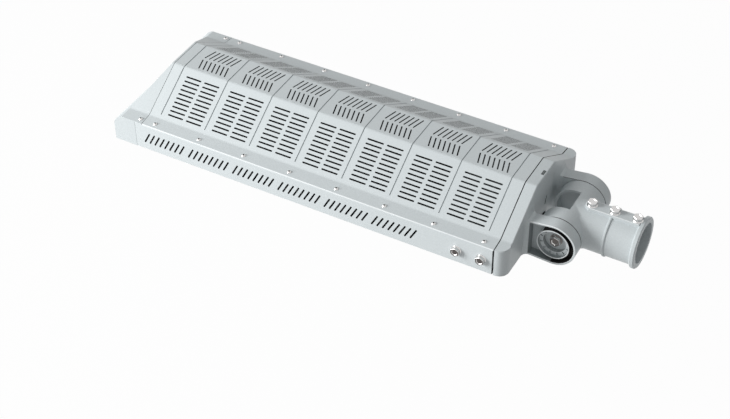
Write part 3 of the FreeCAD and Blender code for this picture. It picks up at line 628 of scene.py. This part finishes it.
def drawn_out(node, outer_round, pale_rim=False):
    """The front section of a CAD node drawn out along X, outer corners rounded and ends in painted shade.

    With a pale rim asked for, its outermost faces and their corners get a painted highlight.
    """
    low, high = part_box(node)
    bm = end_section(node)
    far = bmesh.ops.extrude_face_region(bm, geom=bm.faces[:])["geom"]
    bmesh.ops.translate(bm, verts=moved_verts(far), vec=(high.x - low.x, 0, 0))
    bmesh.ops.recalc_face_normals(bm, faces=bm.faces)
    outermost = max(abs(low.y), abs(high.y))
    dark, pale = sheet_finishes.index("recess"), sheet_finishes.index("painted_rim_highlight")
    for face in bm.faces:
        face.material_index = pale if pale_rim and lies_out(face, outermost) else 0
    soften_folds(bm, low.x)
    # Seam edges and end faces take the near-black finish: painted shade in the seams.
    ease(bm, lambda e: lies_at(e, high.x), seam_shadow, 1, dark)
    ease(bm, lambda e: lies_out(e, outermost) and abs(e.verts[0].co.x - e.verts[1].co.x) > near,
         outer_round, round_segments, pale if pale_rim else 0)
    for face in bm.faces:
        if abs(face.normal.x) > facing:
            face.material_index = dark
    return bm


def combined(bm, others, finishes, operation="DIFFERENCE"):
    """Cut a bmesh of closed shapes out of another or join it on, its faces keeping their own finishes."""
    shapes = []
    for shape in (bm, others):
        mesh = as_mesh(shape, "cut")
        for finish in finishes:
            mesh.materials.append(materials[finish])
        shapes.append(bpy.data.objects.new("cut", mesh))
        bpy.context.scene.collection.objects.link(shapes[-1])
    body, tool = shapes
    modifier = body.modifiers.new("cut", "BOOLEAN")
    modifier.object = tool
    modifier.operation = operation
    modifier.solver = "EXACT"
    graph = bpy.context.evaluated_depsgraph_get()
    result = bmesh.new()
    result.from_object(body, graph)
    for shape in shapes:
        bpy.data.objects.remove(shape)
    return result


def roof_slope():
    """The upper corner (y, z) of the roof's slope at +Y and the angle at which the slope falls."""
    low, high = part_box("top_cover")
    tilt = math.atan2(flange_rise, flange_width)
    foot = Vector((high.y - flange_width, low.z + cover_sheet / math.cos(tilt) + flange_rise))
    ridge = Vector((ridge_half, high.z))
    return ridge, math.atan2(ridge.y - foot.y, foot.x - ridge.x)


def slope_place(down, x):
    """Matrix that lays a cutter in the slope at +Y, down from the ridge along it, at x."""
    ridge, fall = roof_slope()
    point = Vector((x, ridge.x + down * math.cos(fall), ridge.y - down * math.sin(fall)))
    return Matrix.Translation(point) @ Matrix.Rotation(-fall, 4, "X")


def groove_places():
    """Places along X of the grooves between the roof's bays."""
    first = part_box("top_cover")[0].x - seam_gap / 2 + first_groove
    return [first + i * bay_pitch for i in range(bay_count + 1)]


def slope_slot_places():
    """Where the slots lie on both slopes."""
    places = []
    for groove in groove_places()[:-1]:
        for column in range(slope_slot_columns):
            x = groove + slope_slot_from_groove + column * slope_slot_column_pitch + slope_slot.x / 2
            for row in range(slope_slot_rows):
                places.append(slope_place(slope_slot_from_ridge + row * slope_slot_pitch, x))
    return mirrored_places(places)


def ridge_slot_places():
    """Where the slots of the chevrons lie on the ridge."""
    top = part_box("top_cover")[1].z
    turn = Matrix.Rotation(-ridge_slot_angle, 4, "Z")
    places = []
    for groove in groove_places()[:-1]:
        for i in range(ridge_slot_count):
            x = groove + ridge_slot_from_groove + i * ridge_slot_pitch
            places.append(Matrix.Translation((x, ridge_slot_from_middle, top)) @ turn)
    return mirrored_places(places)


def groove_cutter():
    """Mesh of the cutter for one groove over the roof, at x = 0."""
    last = slope_slot_from_ridge + (slope_slot_rows - 1) * slope_slot_pitch + groove_past_slots
    end = slope_place(last, 0) @ Vector((0, 0, -groove_depth))
    bm = bmesh.new()
    ridge, fall = roof_slope()
    ridge -= groove_depth * Vector((math.tan(fall / 2), 1))
    half = [end, Vector((0, ridge.x, ridge.y))]
    line = half + [Vector((0, -p.y, p.z)) for p in reversed(half)]
    verts = [bm.verts.new(p - Vector((groove_width / 2, 0, 0))) for p in line]
    for a, b in zip(verts, verts[1:]):
        bm.edges.new((a, b))
    across = bmesh.ops.extrude_edge_only(bm, edges=bm.edges[:])["geom"]
    bmesh.ops.translate(bm, verts=moved_verts(across), vec=(groove_width, 0, 0))
    up = bmesh.ops.extrude_face_region(bm, geom=bm.faces[:])["geom"]
    bmesh.ops.translate(bm, verts=moved_verts(up), vec=(0, 0, 3 * groove_depth))
    bmesh.ops.recalc_face_normals(bm, faces=bm.faces)
    # The groove faces take a darker coat: painted shade in the pressed grooves.
    for face in bm.faces:
        face.material_index = sheet_finishes.index("painted_groove_shade")
    return as_mesh(bm, "groove_cutter")


def make_top_cover():
    """Folded sheet roof with its round-ended slots and pressed grooves."""
    cutters = copied(slot_cutter(slope_slot, 2 * cover_sheet), slope_slot_places())
    cutters.from_mesh(as_mesh(copied(slot_cutter(ridge_slot, 2 * cover_sheet), ridge_slot_places()), "cuts"))
    grooves = [Matrix.Translation((x, 0, 0)) for x in groove_places()]
    cutters.from_mesh(as_mesh(copied(groove_cutter(), grooves), "cuts"))
    bm = combined(drawn_out("top_cover", sheet_edge, True), cutters, sheet_finishes)
    new_piece("roof_cover", bm, ["top_cover"], sharp=flat_facet, finishes=sheet_finishes)


def make_rail(name, node, side):
    """Side rail with its groups of round-ended slanting slots."""
    low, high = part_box(node)
    face_y = high.y if side > 0 else low.y
    places = []
    for group in range(side_slot_groups):
        for i in range(side_slot_count):
            x = (low.x - seam_gap / 2 + rail_front_setback + side_slot_from_front
                 + group * bay_pitch + i * side_slot_pitch)
            point = Vector((x, face_y, low.z + side_slot_above_base))
            lean = Matrix.Rotation(side_slot_lean, 4, "Y")
            places.append(Matrix.Translation(point) @ lean @ Matrix.Rotation(math.pi / 2, 4, "X"))
    cutters = copied(slot_cutter(side_slot, 2 * cover_sheet), places)
    bm = combined(drawn_out(node, rail_edge), cutters, rail_finishes)
    new_piece(name, bm, [node], finishes=rail_finishes)


def hex_head(flats, height, flange=0.0, flange_height=0.0, dark_end=False):
    """Hexagon bolt head mesh on the origin, top chamfered and dished, end perhaps a painted dark reflection.
    """
    bm = bmesh.new()
    corner = flats / math.sqrt(3)
    base = Matrix.Translation((0, 0, flange_height))
    bmesh.ops.create_circle(bm, cap_ends=True, segments=sides_of_hexagon, radius=corner, matrix=base)
    top = bmesh.ops.extrude_face_region(bm, geom=bm.faces[:])["geom"]
    verts = moved_verts(top)
    bmesh.ops.translate(bm, verts=verts, vec=(0, 0, height))
    rim = [e for e in bm.edges if all(v in verts for v in e.verts)]
    bmesh.ops.bevel(bm, geom=rim, offset=head_chamfer * flats, offset_type="OFFSET",
                    segments=round_segments, profile=0.5, affect="EDGES", material=-1)
    lid = max(bm.faces, key=lambda f: f.calc_center_median().z)
    bmesh.ops.inset_region(bm, faces=[lid], thickness=head_land * flats, depth=0)
    bmesh.ops.inset_region(bm, faces=[lid], thickness=head_dish * flats, depth=-head_dish * flats)
    bm.normal_update()
    for face in bm.faces:
        at_end = face.calc_center_median().z > base.translation.z + height / 2
        face.material_index = 1 if dark_end and at_end and face.normal.z > facing else 0
    if flange:
        bmesh.ops.create_cone(bm, cap_ends=True, segments=m8_flange_steps, radius1=flange,
                              radius2=flange * flange_taper, depth=flange_height,
                              matrix=Matrix.Translation((0, 0, flange_height / 2)))
    bmesh.ops.recalc_face_normals(bm, faces=bm.faces)
    return as_mesh(bm, "hex_head")


def along(axis):
    """Turn that takes Z to an axis."""
    return Vector((0, 0, 1)).rotation_difference(Vector(axis)).to_matrix().to_4x4()


def m8_seat(top):
    """Where along its axis the flange of an M8 head is seated, from the place of its top."""
    return top - m8_flange_height - m8_head_height


def make_clamp_bolts():
    """Flanged bolt heads on the pad of the pole socket."""
    low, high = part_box("clamp_bolts")
    seat = m8_seat(high.z)
    first, last = low.x + m8_flange, high.x - m8_flange
    places = [Matrix.Translation((x, 0, seat)) for x in (first, (first + last) / 2, last)]
    head = hex_head(m8_flats, m8_head_height, m8_flange, m8_flange_height)
    new_piece("clamp_bolt_heads", copied(head, places), ["clamp_bolts"], edge=fine_edge)


def make_rail_bolts():
    """Flanged bolt heads on the outer faces of both rails."""
    low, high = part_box("rail_bolts")
    seat = m8_seat(high.y)
    middle = (low.z + high.z) / 2
    places = [Matrix.Translation((x, seat, middle)) @ along((0, 1, 0))
              for x in (low.x + m8_flange, high.x - m8_flange)]
    head = hex_head(m8_flats, m8_head_height, m8_flange, m8_flange_height, dark_end=True)
    new_piece("rail_bolt_heads", copied(head, mirrored_places(places)), ["rail_bolts"],
              edge=fine_edge, finishes=[slot_of("rail_bolts"), "painted_dark_reflection_steel"])


def turned(outline, steps, closed=False, dark_within=0.0):
    """Mesh turned about Z from a line of (radius, z) points, its faces within a radius dark."""
    bm = bmesh.new()
    line = [bm.verts.new((radius, 0, z)) for radius, z in outline]
    edges = [bm.edges.new(pair) for pair in zip(line, line[1:] + line[:1] if closed else line[1:])]
    bmesh.ops.spin(bm, geom=line + edges, axis=(0, 0, 1), cent=(0, 0, 0), angle=2 * math.pi,
                   steps=steps, use_merge=True)
    bmesh.ops.remove_doubles(bm, verts=bm.verts, dist=weld_gap)
    bmesh.ops.holes_fill(bm, edges=[e for e in bm.edges if e.is_boundary], sides=0)
    bmesh.ops.recalc_face_normals(bm, faces=bm.faces)
    for face in bm.faces:
        inside = all(math.hypot(v.co.x, v.co.y) < dark_within + near for v in face.verts)
        face.material_index = 1 if dark_within and inside else 0
    return as_mesh(bm, "turned")


def solid_boxes(node):
    """Lowest and highest corner of every separate solid of a CAD node."""
    bm = welded(node)
    waiting = set(bm.verts)
    boxes = []
    while waiting:
        found = {waiting.pop()}
        newest = list(found)
        while newest:
            joined = {e.other_vert(v) for v in newest for e in v.link_edges}
            newest = [v for v in joined if v not in found]
            found.update(newest)
        waiting -= found
        points = [v.co for v in found]
        boxes.append([Vector([pick(p[i] for p in points) for i in range(3)]) for pick in (min, max)])
    bm.free()
    return boxes


def button_head():
    """Mesh of a domed screw head that stands on the origin, its socket in near-black painted shade."""
    dome = button_height - button_rim
    ball = (button_radius**2 + dome**2) / (2 * dome)
    arc = [button_radius + (button_socket_radius - button_radius) * i / button_rows
           for i in range(button_rows + 1)]
    outline = [(0, 0), (button_radius, 0)]
    outline += [(r, button_height - ball + math.sqrt(ball**2 - r**2)) for r in arc]
    floor = outline[-1][1] - button_socket_depth
    outline += [(button_socket_radius, floor), (0, floor)]
    return turned(outline, button_steps, dark_within=button_socket_radius)


def make_button_heads(name, node, axis):
    """Domed screw heads in place of a node's plain heads, standing along an axis or its mirror image."""
    head = button_head()
    places = []
    for low, high in solid_boxes(node):
        middle = (low + high) / 2
        turn = Vector((axis[0], math.copysign(axis[1], middle.y), axis[2])).normalized()
        seat = middle - turn * button_height / 2
        places.append(Matrix.Translation(seat) @ along(turn))
    new_piece(name, copied(head, places), [node], finishes=[slot_of(node), "recess"])


def make_pivot(side, bolt, washer):
    """Hexagon bolt head on a spring washer and a flat washer inside one boss."""
    way = along((0, side, 0))
    ends = [corner.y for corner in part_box(washer)]
    inner, seat = min(ends, key=abs), max(ends, key=abs)
    height = abs(seat - inner)
    step = flat_washer_share * height
    outline = [(m10_hole_radius, 0), (flat_washer_radius, 0), (flat_washer_radius, step),
               (spring_washer_radius, step), (spring_washer_radius, height), (m10_hole_radius, height)]
    rings = turned(outline, washer_steps, closed=True)
    stack = copied(rings, [Matrix.Translation((hinge_x, inner, 0)) @ way])
    new_piece(washer + "_stack", stack, [washer], edge=fine_edge)
    place = Matrix.Translation((hinge_x, seat, 0)) @ way @ Matrix.Rotation(m10_head_turn, 4, "Z")
    head = copied(hex_head(m10_flats, m10_head_height, dark_end=True), [place])
    new_piece(bolt + "_head", head, [bolt], edge=fine_edge, finishes=["stainless", "painted_dark_reflection_steel"])


def merge_flat_faces(bm):
    """Merge the triangles of each flat face, keeping the borders between finishes."""
    bmesh.ops.dissolve_limit(bm, angle_limit=flat_angle, verts=bm.verts, edges=bm.edges,
                             delimit={"MATERIAL"})


def housing_finish(face):
    """Number of the finish of one face of the rear casting: the coat, or near-black or darker painted shade.
    """
    coat, dark, pocket_shade = 0, cast_finishes.index("recess"), cast_finishes.index("painted_pocket_shade")
    centre, normal = face.calc_center_median(), face.normal
    depth = abs(centre.y)
    reach = math.hypot(centre.x - hinge_x, centre.z)
    # Painted shade: near black on the seam face, slit walls and ear grooves, darker coat in the pockets.
    if normal.x < -facing and centre.x < seam_x + near:
        return dark
    off_slit = math.hypot(centre.y - slit_middle.x, centre.z - slit_middle.y)
    if off_slit < slit_reach and abs(normal.x) < side_facing:
        return dark
    if not ear_seat_y - near < depth < ear_outer_y - near:
        return coat
    on_boss = reach < boss_ledge_radius + near or abs(depth - boss_top_y) < near and reach < boss_radius
    if not on_boss and reach < ear_wall_radius and centre.x > groove_start_x:
        return dark
    if abs(normal.y) > facing:
        return coat
    to_middle = Vector((pocket_middle_x - centre.x, 0, -centre.z))
    in_pocket = centre.x > pocket_start_x and normal.dot(to_middle) > 0
    return pocket_shade if on_boss or in_pocket else coat


def corner_strip():
    """Mesh of an upright strip that follows the housing's rounded corner at +Y from just below its skin."""
    bm = bmesh.new()
    bottom, top = strip_heights
    radius = corner_radius - strip_below
    middle = Vector((corner_middle.x, corner_middle.y, (bottom + top) / 2))
    bmesh.ops.create_cone(bm, cap_ends=True, segments=corner_steps, radius1=radius, radius2=radius,
                          depth=top - bottom, matrix=Matrix.Translation(middle))
    way = Vector((math.cos(corner_turn), math.sin(corner_turn), 0))
    bmesh.ops.bisect_plane(bm, geom=bm.verts[:] + bm.edges[:] + bm.faces[:], clear_inner=True,
                           plane_co=middle + radius * math.cos(strip_half_turn) * way, plane_no=way)
    bmesh.ops.holes_fill(bm, edges=[e for e in bm.edges if e.is_boundary], sides=0)
    bmesh.ops.recalc_face_normals(bm, faces=bm.faces)
    return as_mesh(bm, "corner_strip")


def make_housing():
    """Rear casting with painted shade at joints and in pockets, its ear rims rounded with painted highlights.

    The rail tongues, which stick out of its rounded corners, are drawn back behind them, and strips close
    the corners where the tongues and the hollow break through.
    """
    bm = welded("rear_housing")
    for vert in bm.verts:
        out = Vector((vert.co.x, abs(vert.co.y))) - corner_middle
        if min(out) > 0 and out.length > corner_radius + near:
            out *= (corner_radius - tongue_end_depth) / out.length
            vert.co.x = corner_middle.x + out.x
            vert.co.y = math.copysign(corner_middle.y + out.y, vert.co.y)
    place = (Matrix.Translation((housing_x, slit_middle.x, slit_middle.y))
             @ Matrix.Rotation(slit_lean, 4, "X") @ Matrix.Rotation(math.pi / 2, 4, "Y"))
    bm = combined(bm, copied(slot_cutter(slit_size, slit_reach), [place]), cast_finishes)
    strips = copied(corner_strip(), mirrored_places([Matrix.Identity(4)]))
    bm = combined(bm, strips, cast_finishes, "UNION")
    floor = [f for f in bm.faces if abs(abs(f.calc_center_median().y) - ear_seat_y) < near]
    floor_edges = list({e for f in floor for e in f.edges})
    floor_verts = list({v for f in floor for v in f.verts})
    bmesh.ops.bisect_plane(bm, geom=floor + floor_edges + floor_verts, plane_co=(groove_start_x, 0, 0),
                           plane_no=(1, 0, 0))
    for face in bm.faces:
        face.material_index = housing_finish(face)
    merge_flat_faces(bm)
    dark, pale = cast_finishes.index("recess"), cast_finishes.index("painted_rim_highlight")
    # Seam and joint edges get near-black chamfers as painted shade, ear and boss rims a painted highlight.
    ease(bm, lambda e: lies_at(e, seam_x), seam_shadow, 1, dark)
    ease(bm, lambda e: lies_out(e, ear_inner_y)
         and min(v.co.x for v in e.verts) > housing_x + rear_edge_round, joint_shadow, 1, dark)
    ease(bm, lambda e: lies_out(e, ear_outer_y), rim_round, 2, pale)
    ease(bm, lambda e: lies_out(e, boss_top_y), rim_round, 2, pale)
    ease(bm, lambda e: lies_at(e, housing_x) and min(v.co.z for v in e.verts) > roof_foot_z,
         rear_edge_round, round_segments)
    new_piece("rear_casting", bm, ["rear_housing"], finishes=cast_finishes)


def make_spigot():
    """Cast pole socket and hub: painted shade on the hub's ends and their edges, a painted highlight on the
    pad.
    """
    dark, pale = cast_finishes.index("recess"), cast_finishes.index("painted_rim_highlight")
    pad_z = m8_seat(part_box("clamp_bolts")[1].z)
    bm = welded("pole_spigot")
    for face in bm.faces:
        at_end = abs(abs(face.calc_center_median().y) - hub_end_y) < near
        face.material_index = dark if at_end else 0
    merge_flat_faces(bm)
    ease(bm, lambda e: lies_out(e, hub_end_y)
         and min(math.hypot(v.co.x - hinge_x, v.co.z) for v in e.verts) > socket_radius - near,
         joint_shadow, 1, dark)
    ease(bm, lambda e: all(abs(v.co.z - pad_z) < near for v in e.verts), rim_round, 2, pale)
    new_piece("socket_casting", bm, ["pole_spigot"], edge=casting_edge, finishes=cast_finishes)


def make_cap():
    """Front cap, its rear face in the seam painted near black as shade."""
    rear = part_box("front_cap")[1].x
    bm = welded("front_cap")
    for face in bm.faces:
        at_seam = face.normal.x > facing and face.calc_center_median().x > rear - near
        face.material_index = cast_finishes.index("recess") if at_seam else 0
    merge_flat_faces(bm)
    new_piece("nose_casting", bm, ["front_cap"], edge=cap_edge, finishes=cast_finishes)


def make_neck():
    """Smooth cast fillet in the four corners between the hub and the tube, laid over the plain web.

    On its grid t runs from the hub to the tube, and turn down the round of both from top to side.
    """
    bm = bmesh.new()
    bmesh.ops.create_grid(bm, x_segments=neck_strips, y_segments=neck_rows, size=0.5)
    for vert in bm.verts:
        t, turn = vert.co.x + 0.5, math.pi / 2 * (vert.co.y + 0.5)
        corner = neck_start + (socket_radius - neck_start) * math.sin(turn)
        on_hub = min(neck_on_hub * (corner - neck_start), hub_end_y - neck_from_hub_end - corner)
        x = corner + neck_on_tube * (corner - neck_start) * t * t
        y = corner + on_hub * (1 - t) ** 2
        vert.co = (hinge_x + x, y, math.sqrt(max(socket_radius**2 - corner**2, 0)))
    bmesh.ops.remove_doubles(bm, verts=bm.verts, dist=weld_gap)
    if sum(f.normal.y + f.normal.x for f in bm.faces) < 0:
        bmesh.ops.reverse_faces(bm, faces=bm.faces)
    upper = mirrored_places([Matrix.Identity(4)])
    lower = [Matrix.Scale(-1, 4, Vector((0, 0, 1))) @ place for place in upper]
    fillets = copied(as_mesh(bm, "neck"), upper + lower)
    new_piece("neck_fillets", fillets, ["pole_spigot"], replaces=False)


def make_vial():
    """Level vial: a dark body with a well, and in it a glass tube crossed by two black bars."""
    low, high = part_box("level_vial")
    size, middle = high - low, (low + high) / 2
    bm = bmesh.new()
    bmesh.ops.create_cube(bm, size=1.0)
    bmesh.ops.scale(bm, verts=bm.verts, vec=size)
    bmesh.ops.translate(bm, verts=bm.verts, vec=middle)
    lid = max(bm.faces, key=lambda f: f.calc_center_median().z)
    bmesh.ops.inset_region(bm, faces=[lid], thickness=vial_wall, depth=0)
    bmesh.ops.inset_region(bm, faces=[lid], thickness=near, depth=-vial_well)
    new_piece("vial_body", bm, ["level_vial"], edge=fine_edge)
    tube = bmesh.new()
    length = size.y - 2 * vial_wall - 2 * near
    place = Matrix.Translation((middle.x, 0, high.z - vial_tube_radius)) @ along((0, 1, 0))
    bmesh.ops.create_cone(tube, cap_ends=True, segments=vial_steps, radius1=vial_tube_radius,
                          radius2=vial_tube_radius, depth=length, matrix=place)
    new_piece("vial_tube", tube, ["level_vial"], edge=vial_tube_edge, finishes=["vial_glass"], replaces=False)
    inner, half = vial_tube_radius - vial_bar.y, vial_bar.x / 2
    outline = [(inner, -half), (vial_tube_radius, -half), (vial_tube_radius, half), (inner, half)]
    ring = turned(outline, vial_steps, closed=True)
    places = [place @ Matrix.Translation((0, 0, s * vial_bar_spacing / 2)) for s in (-1, 1)]
    new_piece("vial_bars", copied(ring, places), ["level_vial"], finishes=["black_plastic"], replaces=False)


def lens_places(node):
    """Centres of the lenses on the raised blocks under one lens plate."""
    low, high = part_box(node)
    places = []
    for row in range(lens_rows):
        for block in range(lens_blocks):
            for i in range(lenses_in_block):
                x = low.x + (high.x - low.x) * (row + 0.5) / lens_rows
                y = low.y + (high.y - low.y) * (block + 0.5) / lens_blocks
                y += (i - (lenses_in_block - 1) / 2) * lens_pitch
                places.append(Matrix.Translation((x, y, low.z)))
    return places


def make_lenses(number):
    """Domed lenses under one lens plate, and the LEDs on the board behind them."""
    plate, board = f"lens_plate_{number}", f"led_board_{number}"
    arc = [math.pi / 2 * i / lens_dome_rows for i in range(lens_dome_rows + 1)]
    dome = turned([(lens_radius * math.cos(a), -lens_rise * math.sin(a)) for a in arc], lens_steps)
    new_piece(f"lens_domes_{number}", copied(dome, lens_places(plate)), [plate], replaces=False)
    bm = bmesh.new()
    bmesh.ops.create_cube(bm, size=1.0)
    bmesh.ops.scale(bm, verts=bm.verts, vec=chip_size)
    bmesh.ops.translate(bm, verts=bm.verts, vec=(0, 0, -chip_size.z / 2))
    bmesh.ops.bevel(bm, geom=bm.edges[:], offset=chip_edge, offset_type="OFFSET", segments=1, profile=0.5,
                    affect="EDGES", material=-1)
    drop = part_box(board)[0].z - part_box(plate)[0].z
    places = [Matrix.Translation((0, 0, drop)) @ place for place in lens_places(plate)]
    chips = copied(as_mesh(bm, "chip"), places)
    new_piece(f"led_chips_{number}", chips, [board], finishes=["phosphor"], replaces=False)


def make_camera():
    """Camera at the photograph's viewing angle."""
    back = Vector((math.sin(camera_azimuth) * math.cos(camera_elevation),
                   -math.cos(camera_azimuth) * math.cos(camera_elevation), math.sin(camera_elevation)))
    level = Vector((math.cos(camera_azimuth), math.sin(camera_azimuth), 0))
    upright = back.cross(level)
    right = math.cos(camera_roll) * level + math.sin(camera_roll) * upright
    up = math.cos(camera_roll) * upright - math.sin(camera_roll) * level
    camera = bpy.data.objects.new("camera", bpy.data.cameras.new("camera"))
    bpy.context.scene.collection.objects.link(camera)
    turn = Matrix((right, up, back)).transposed()
    camera.matrix_world = Matrix.Translation(camera_place) @ turn.to_4x4()
    camera.data.lens = camera_lens
    camera.data.sensor_width = camera_sensor
    bpy.context.scene.camera = camera


def seen_directly(tree):
    """1 for rays from the camera, a mirror or a clear part, and 0 for those that carry light."""
    path = add_node(tree, "ShaderNodeLightPath")
    rays = [path.outputs[name] for name in ("Is Camera Ray", "Is Glossy Ray", "Is Transmission Ray")]
    both = add_node(tree, "ShaderNodeMath", {0: rays[0], 1: rays[1]}, operation="MAXIMUM")
    every = add_node(tree, "ShaderNodeMath", {0: both.outputs[0], 1: rays[2]}, operation="MAXIMUM")
    return every.outputs[0]


def make_floor():
    """Wide pale floor under the head as it hangs straight down; it looks white and keeps the soft shadow."""
    material = bpy.data.materials.new("studio_floor")
    material.use_nodes = True
    tree = material.node_tree
    tree.nodes.clear()
    diffuse = add_node(tree, "ShaderNodeBsdfDiffuse", {"Color": linear("#C8C8C8")})
    white = add_node(tree, "ShaderNodeEmission", {"Color": (1, 1, 1, 1), "Strength": 1.0})
    share = add_node(tree, "ShaderNodeMath", {0: seen_directly(tree), 1: floor_white}, operation="MULTIPLY")
    mix = add_node(tree, "ShaderNodeMixShader", {0: share.outputs[0], 1: diffuse.outputs[0],
                                                 2: white.outputs[0]})
    add_node(tree, "ShaderNodeOutputMaterial", {"Surface": mix.outputs[0]})
    bm = bmesh.new()
    bmesh.ops.create_grid(bm, x_segments=1, y_segments=1, size=floor_size)
    bmesh.ops.translate(bm, verts=bm.verts, vec=(0, 0, floor_z))
    mesh = as_mesh(bm, "floor")
    mesh.materials.append(material)
    floor = bpy.data.objects.new("floor", mesh)
    bpy.context.scene.collection.objects.link(floor)


def make_world():
    """Even soft light from all round, white where it is seen directly."""
    world = bpy.data.worlds.new("studio")
    world.use_nodes = True
    tree = world.node_tree
    tree.nodes.clear()
    strength = add_node(tree, "ShaderNodeMapRange", {"Value": seen_directly(tree), "To Min": sky_light,
                                                     "To Max": 1.0})
    light = add_node(tree, "ShaderNodeBackground", {"Color": (1, 1, 1, 1),
                                                    "Strength": strength.outputs["Result"]})
    add_node(tree, "ShaderNodeOutputWorld", {"Surface": light.outputs[0]})
    bpy.context.scene.world = world


def make_lamp(name, place, target, size, power):
    """Square soft box that shines from a place at a target."""
    lamp = bpy.data.lights.new(name, "AREA")
    lamp.size = size
    lamp.energy = power
    holder = bpy.data.objects.new(name, lamp)
    bpy.context.scene.collection.objects.link(holder)
    holder.location = place
    holder.rotation_euler = (Vector(target) - Vector(place)).to_track_quat("-Z", "Y").to_euler()


make_camera()
make_floor()
make_world()
make_lamp("key", key_place, lamp_target, key_size, key_power)

materials = make_materials()
make_top_cover()
make_rail("right_side_rail", "right_rail", 1)
make_rail("left_side_rail", "left_rail", -1)
make_cap()
make_housing()
make_spigot()
make_neck()
make_clamp_bolts()
make_rail_bolts()
make_pivot(-1, "left_pivot_bolt", "left_pivot_washer")
make_pivot(1, "right_pivot_bolt", "right_pivot_washer")
make_button_heads("cover_screw_heads", "cover_screws", (0, flange_rise, flange_width))
make_button_heads("cap_screw_heads", "cap_screws", (0, flange_rise, flange_width))
make_button_heads("module_screw_heads", "module_screws", (0, 0, 1))
make_button_heads("bottom_screw_heads", "bottom_cover_screws", (0, 0, -1))
make_vial()
for number in range(1, module_count + 1):
    make_lenses(number)

# Nodes that no piece stands for keep their own shape; some slots have moulded or blasted edges
slot_edges = {"clear_lens": 0.3 * MM, "driver_case": 0.6 * MM, "black_plastic": 0.8 * MM}
for node in frame["nodes"]:
    if not frame["nodes"][node].hide_render:
        dress_node(node, slot_edges.get(slot_of(node), 0.0))

bpy.context.scene.view_settings.view_transform = "Standard"
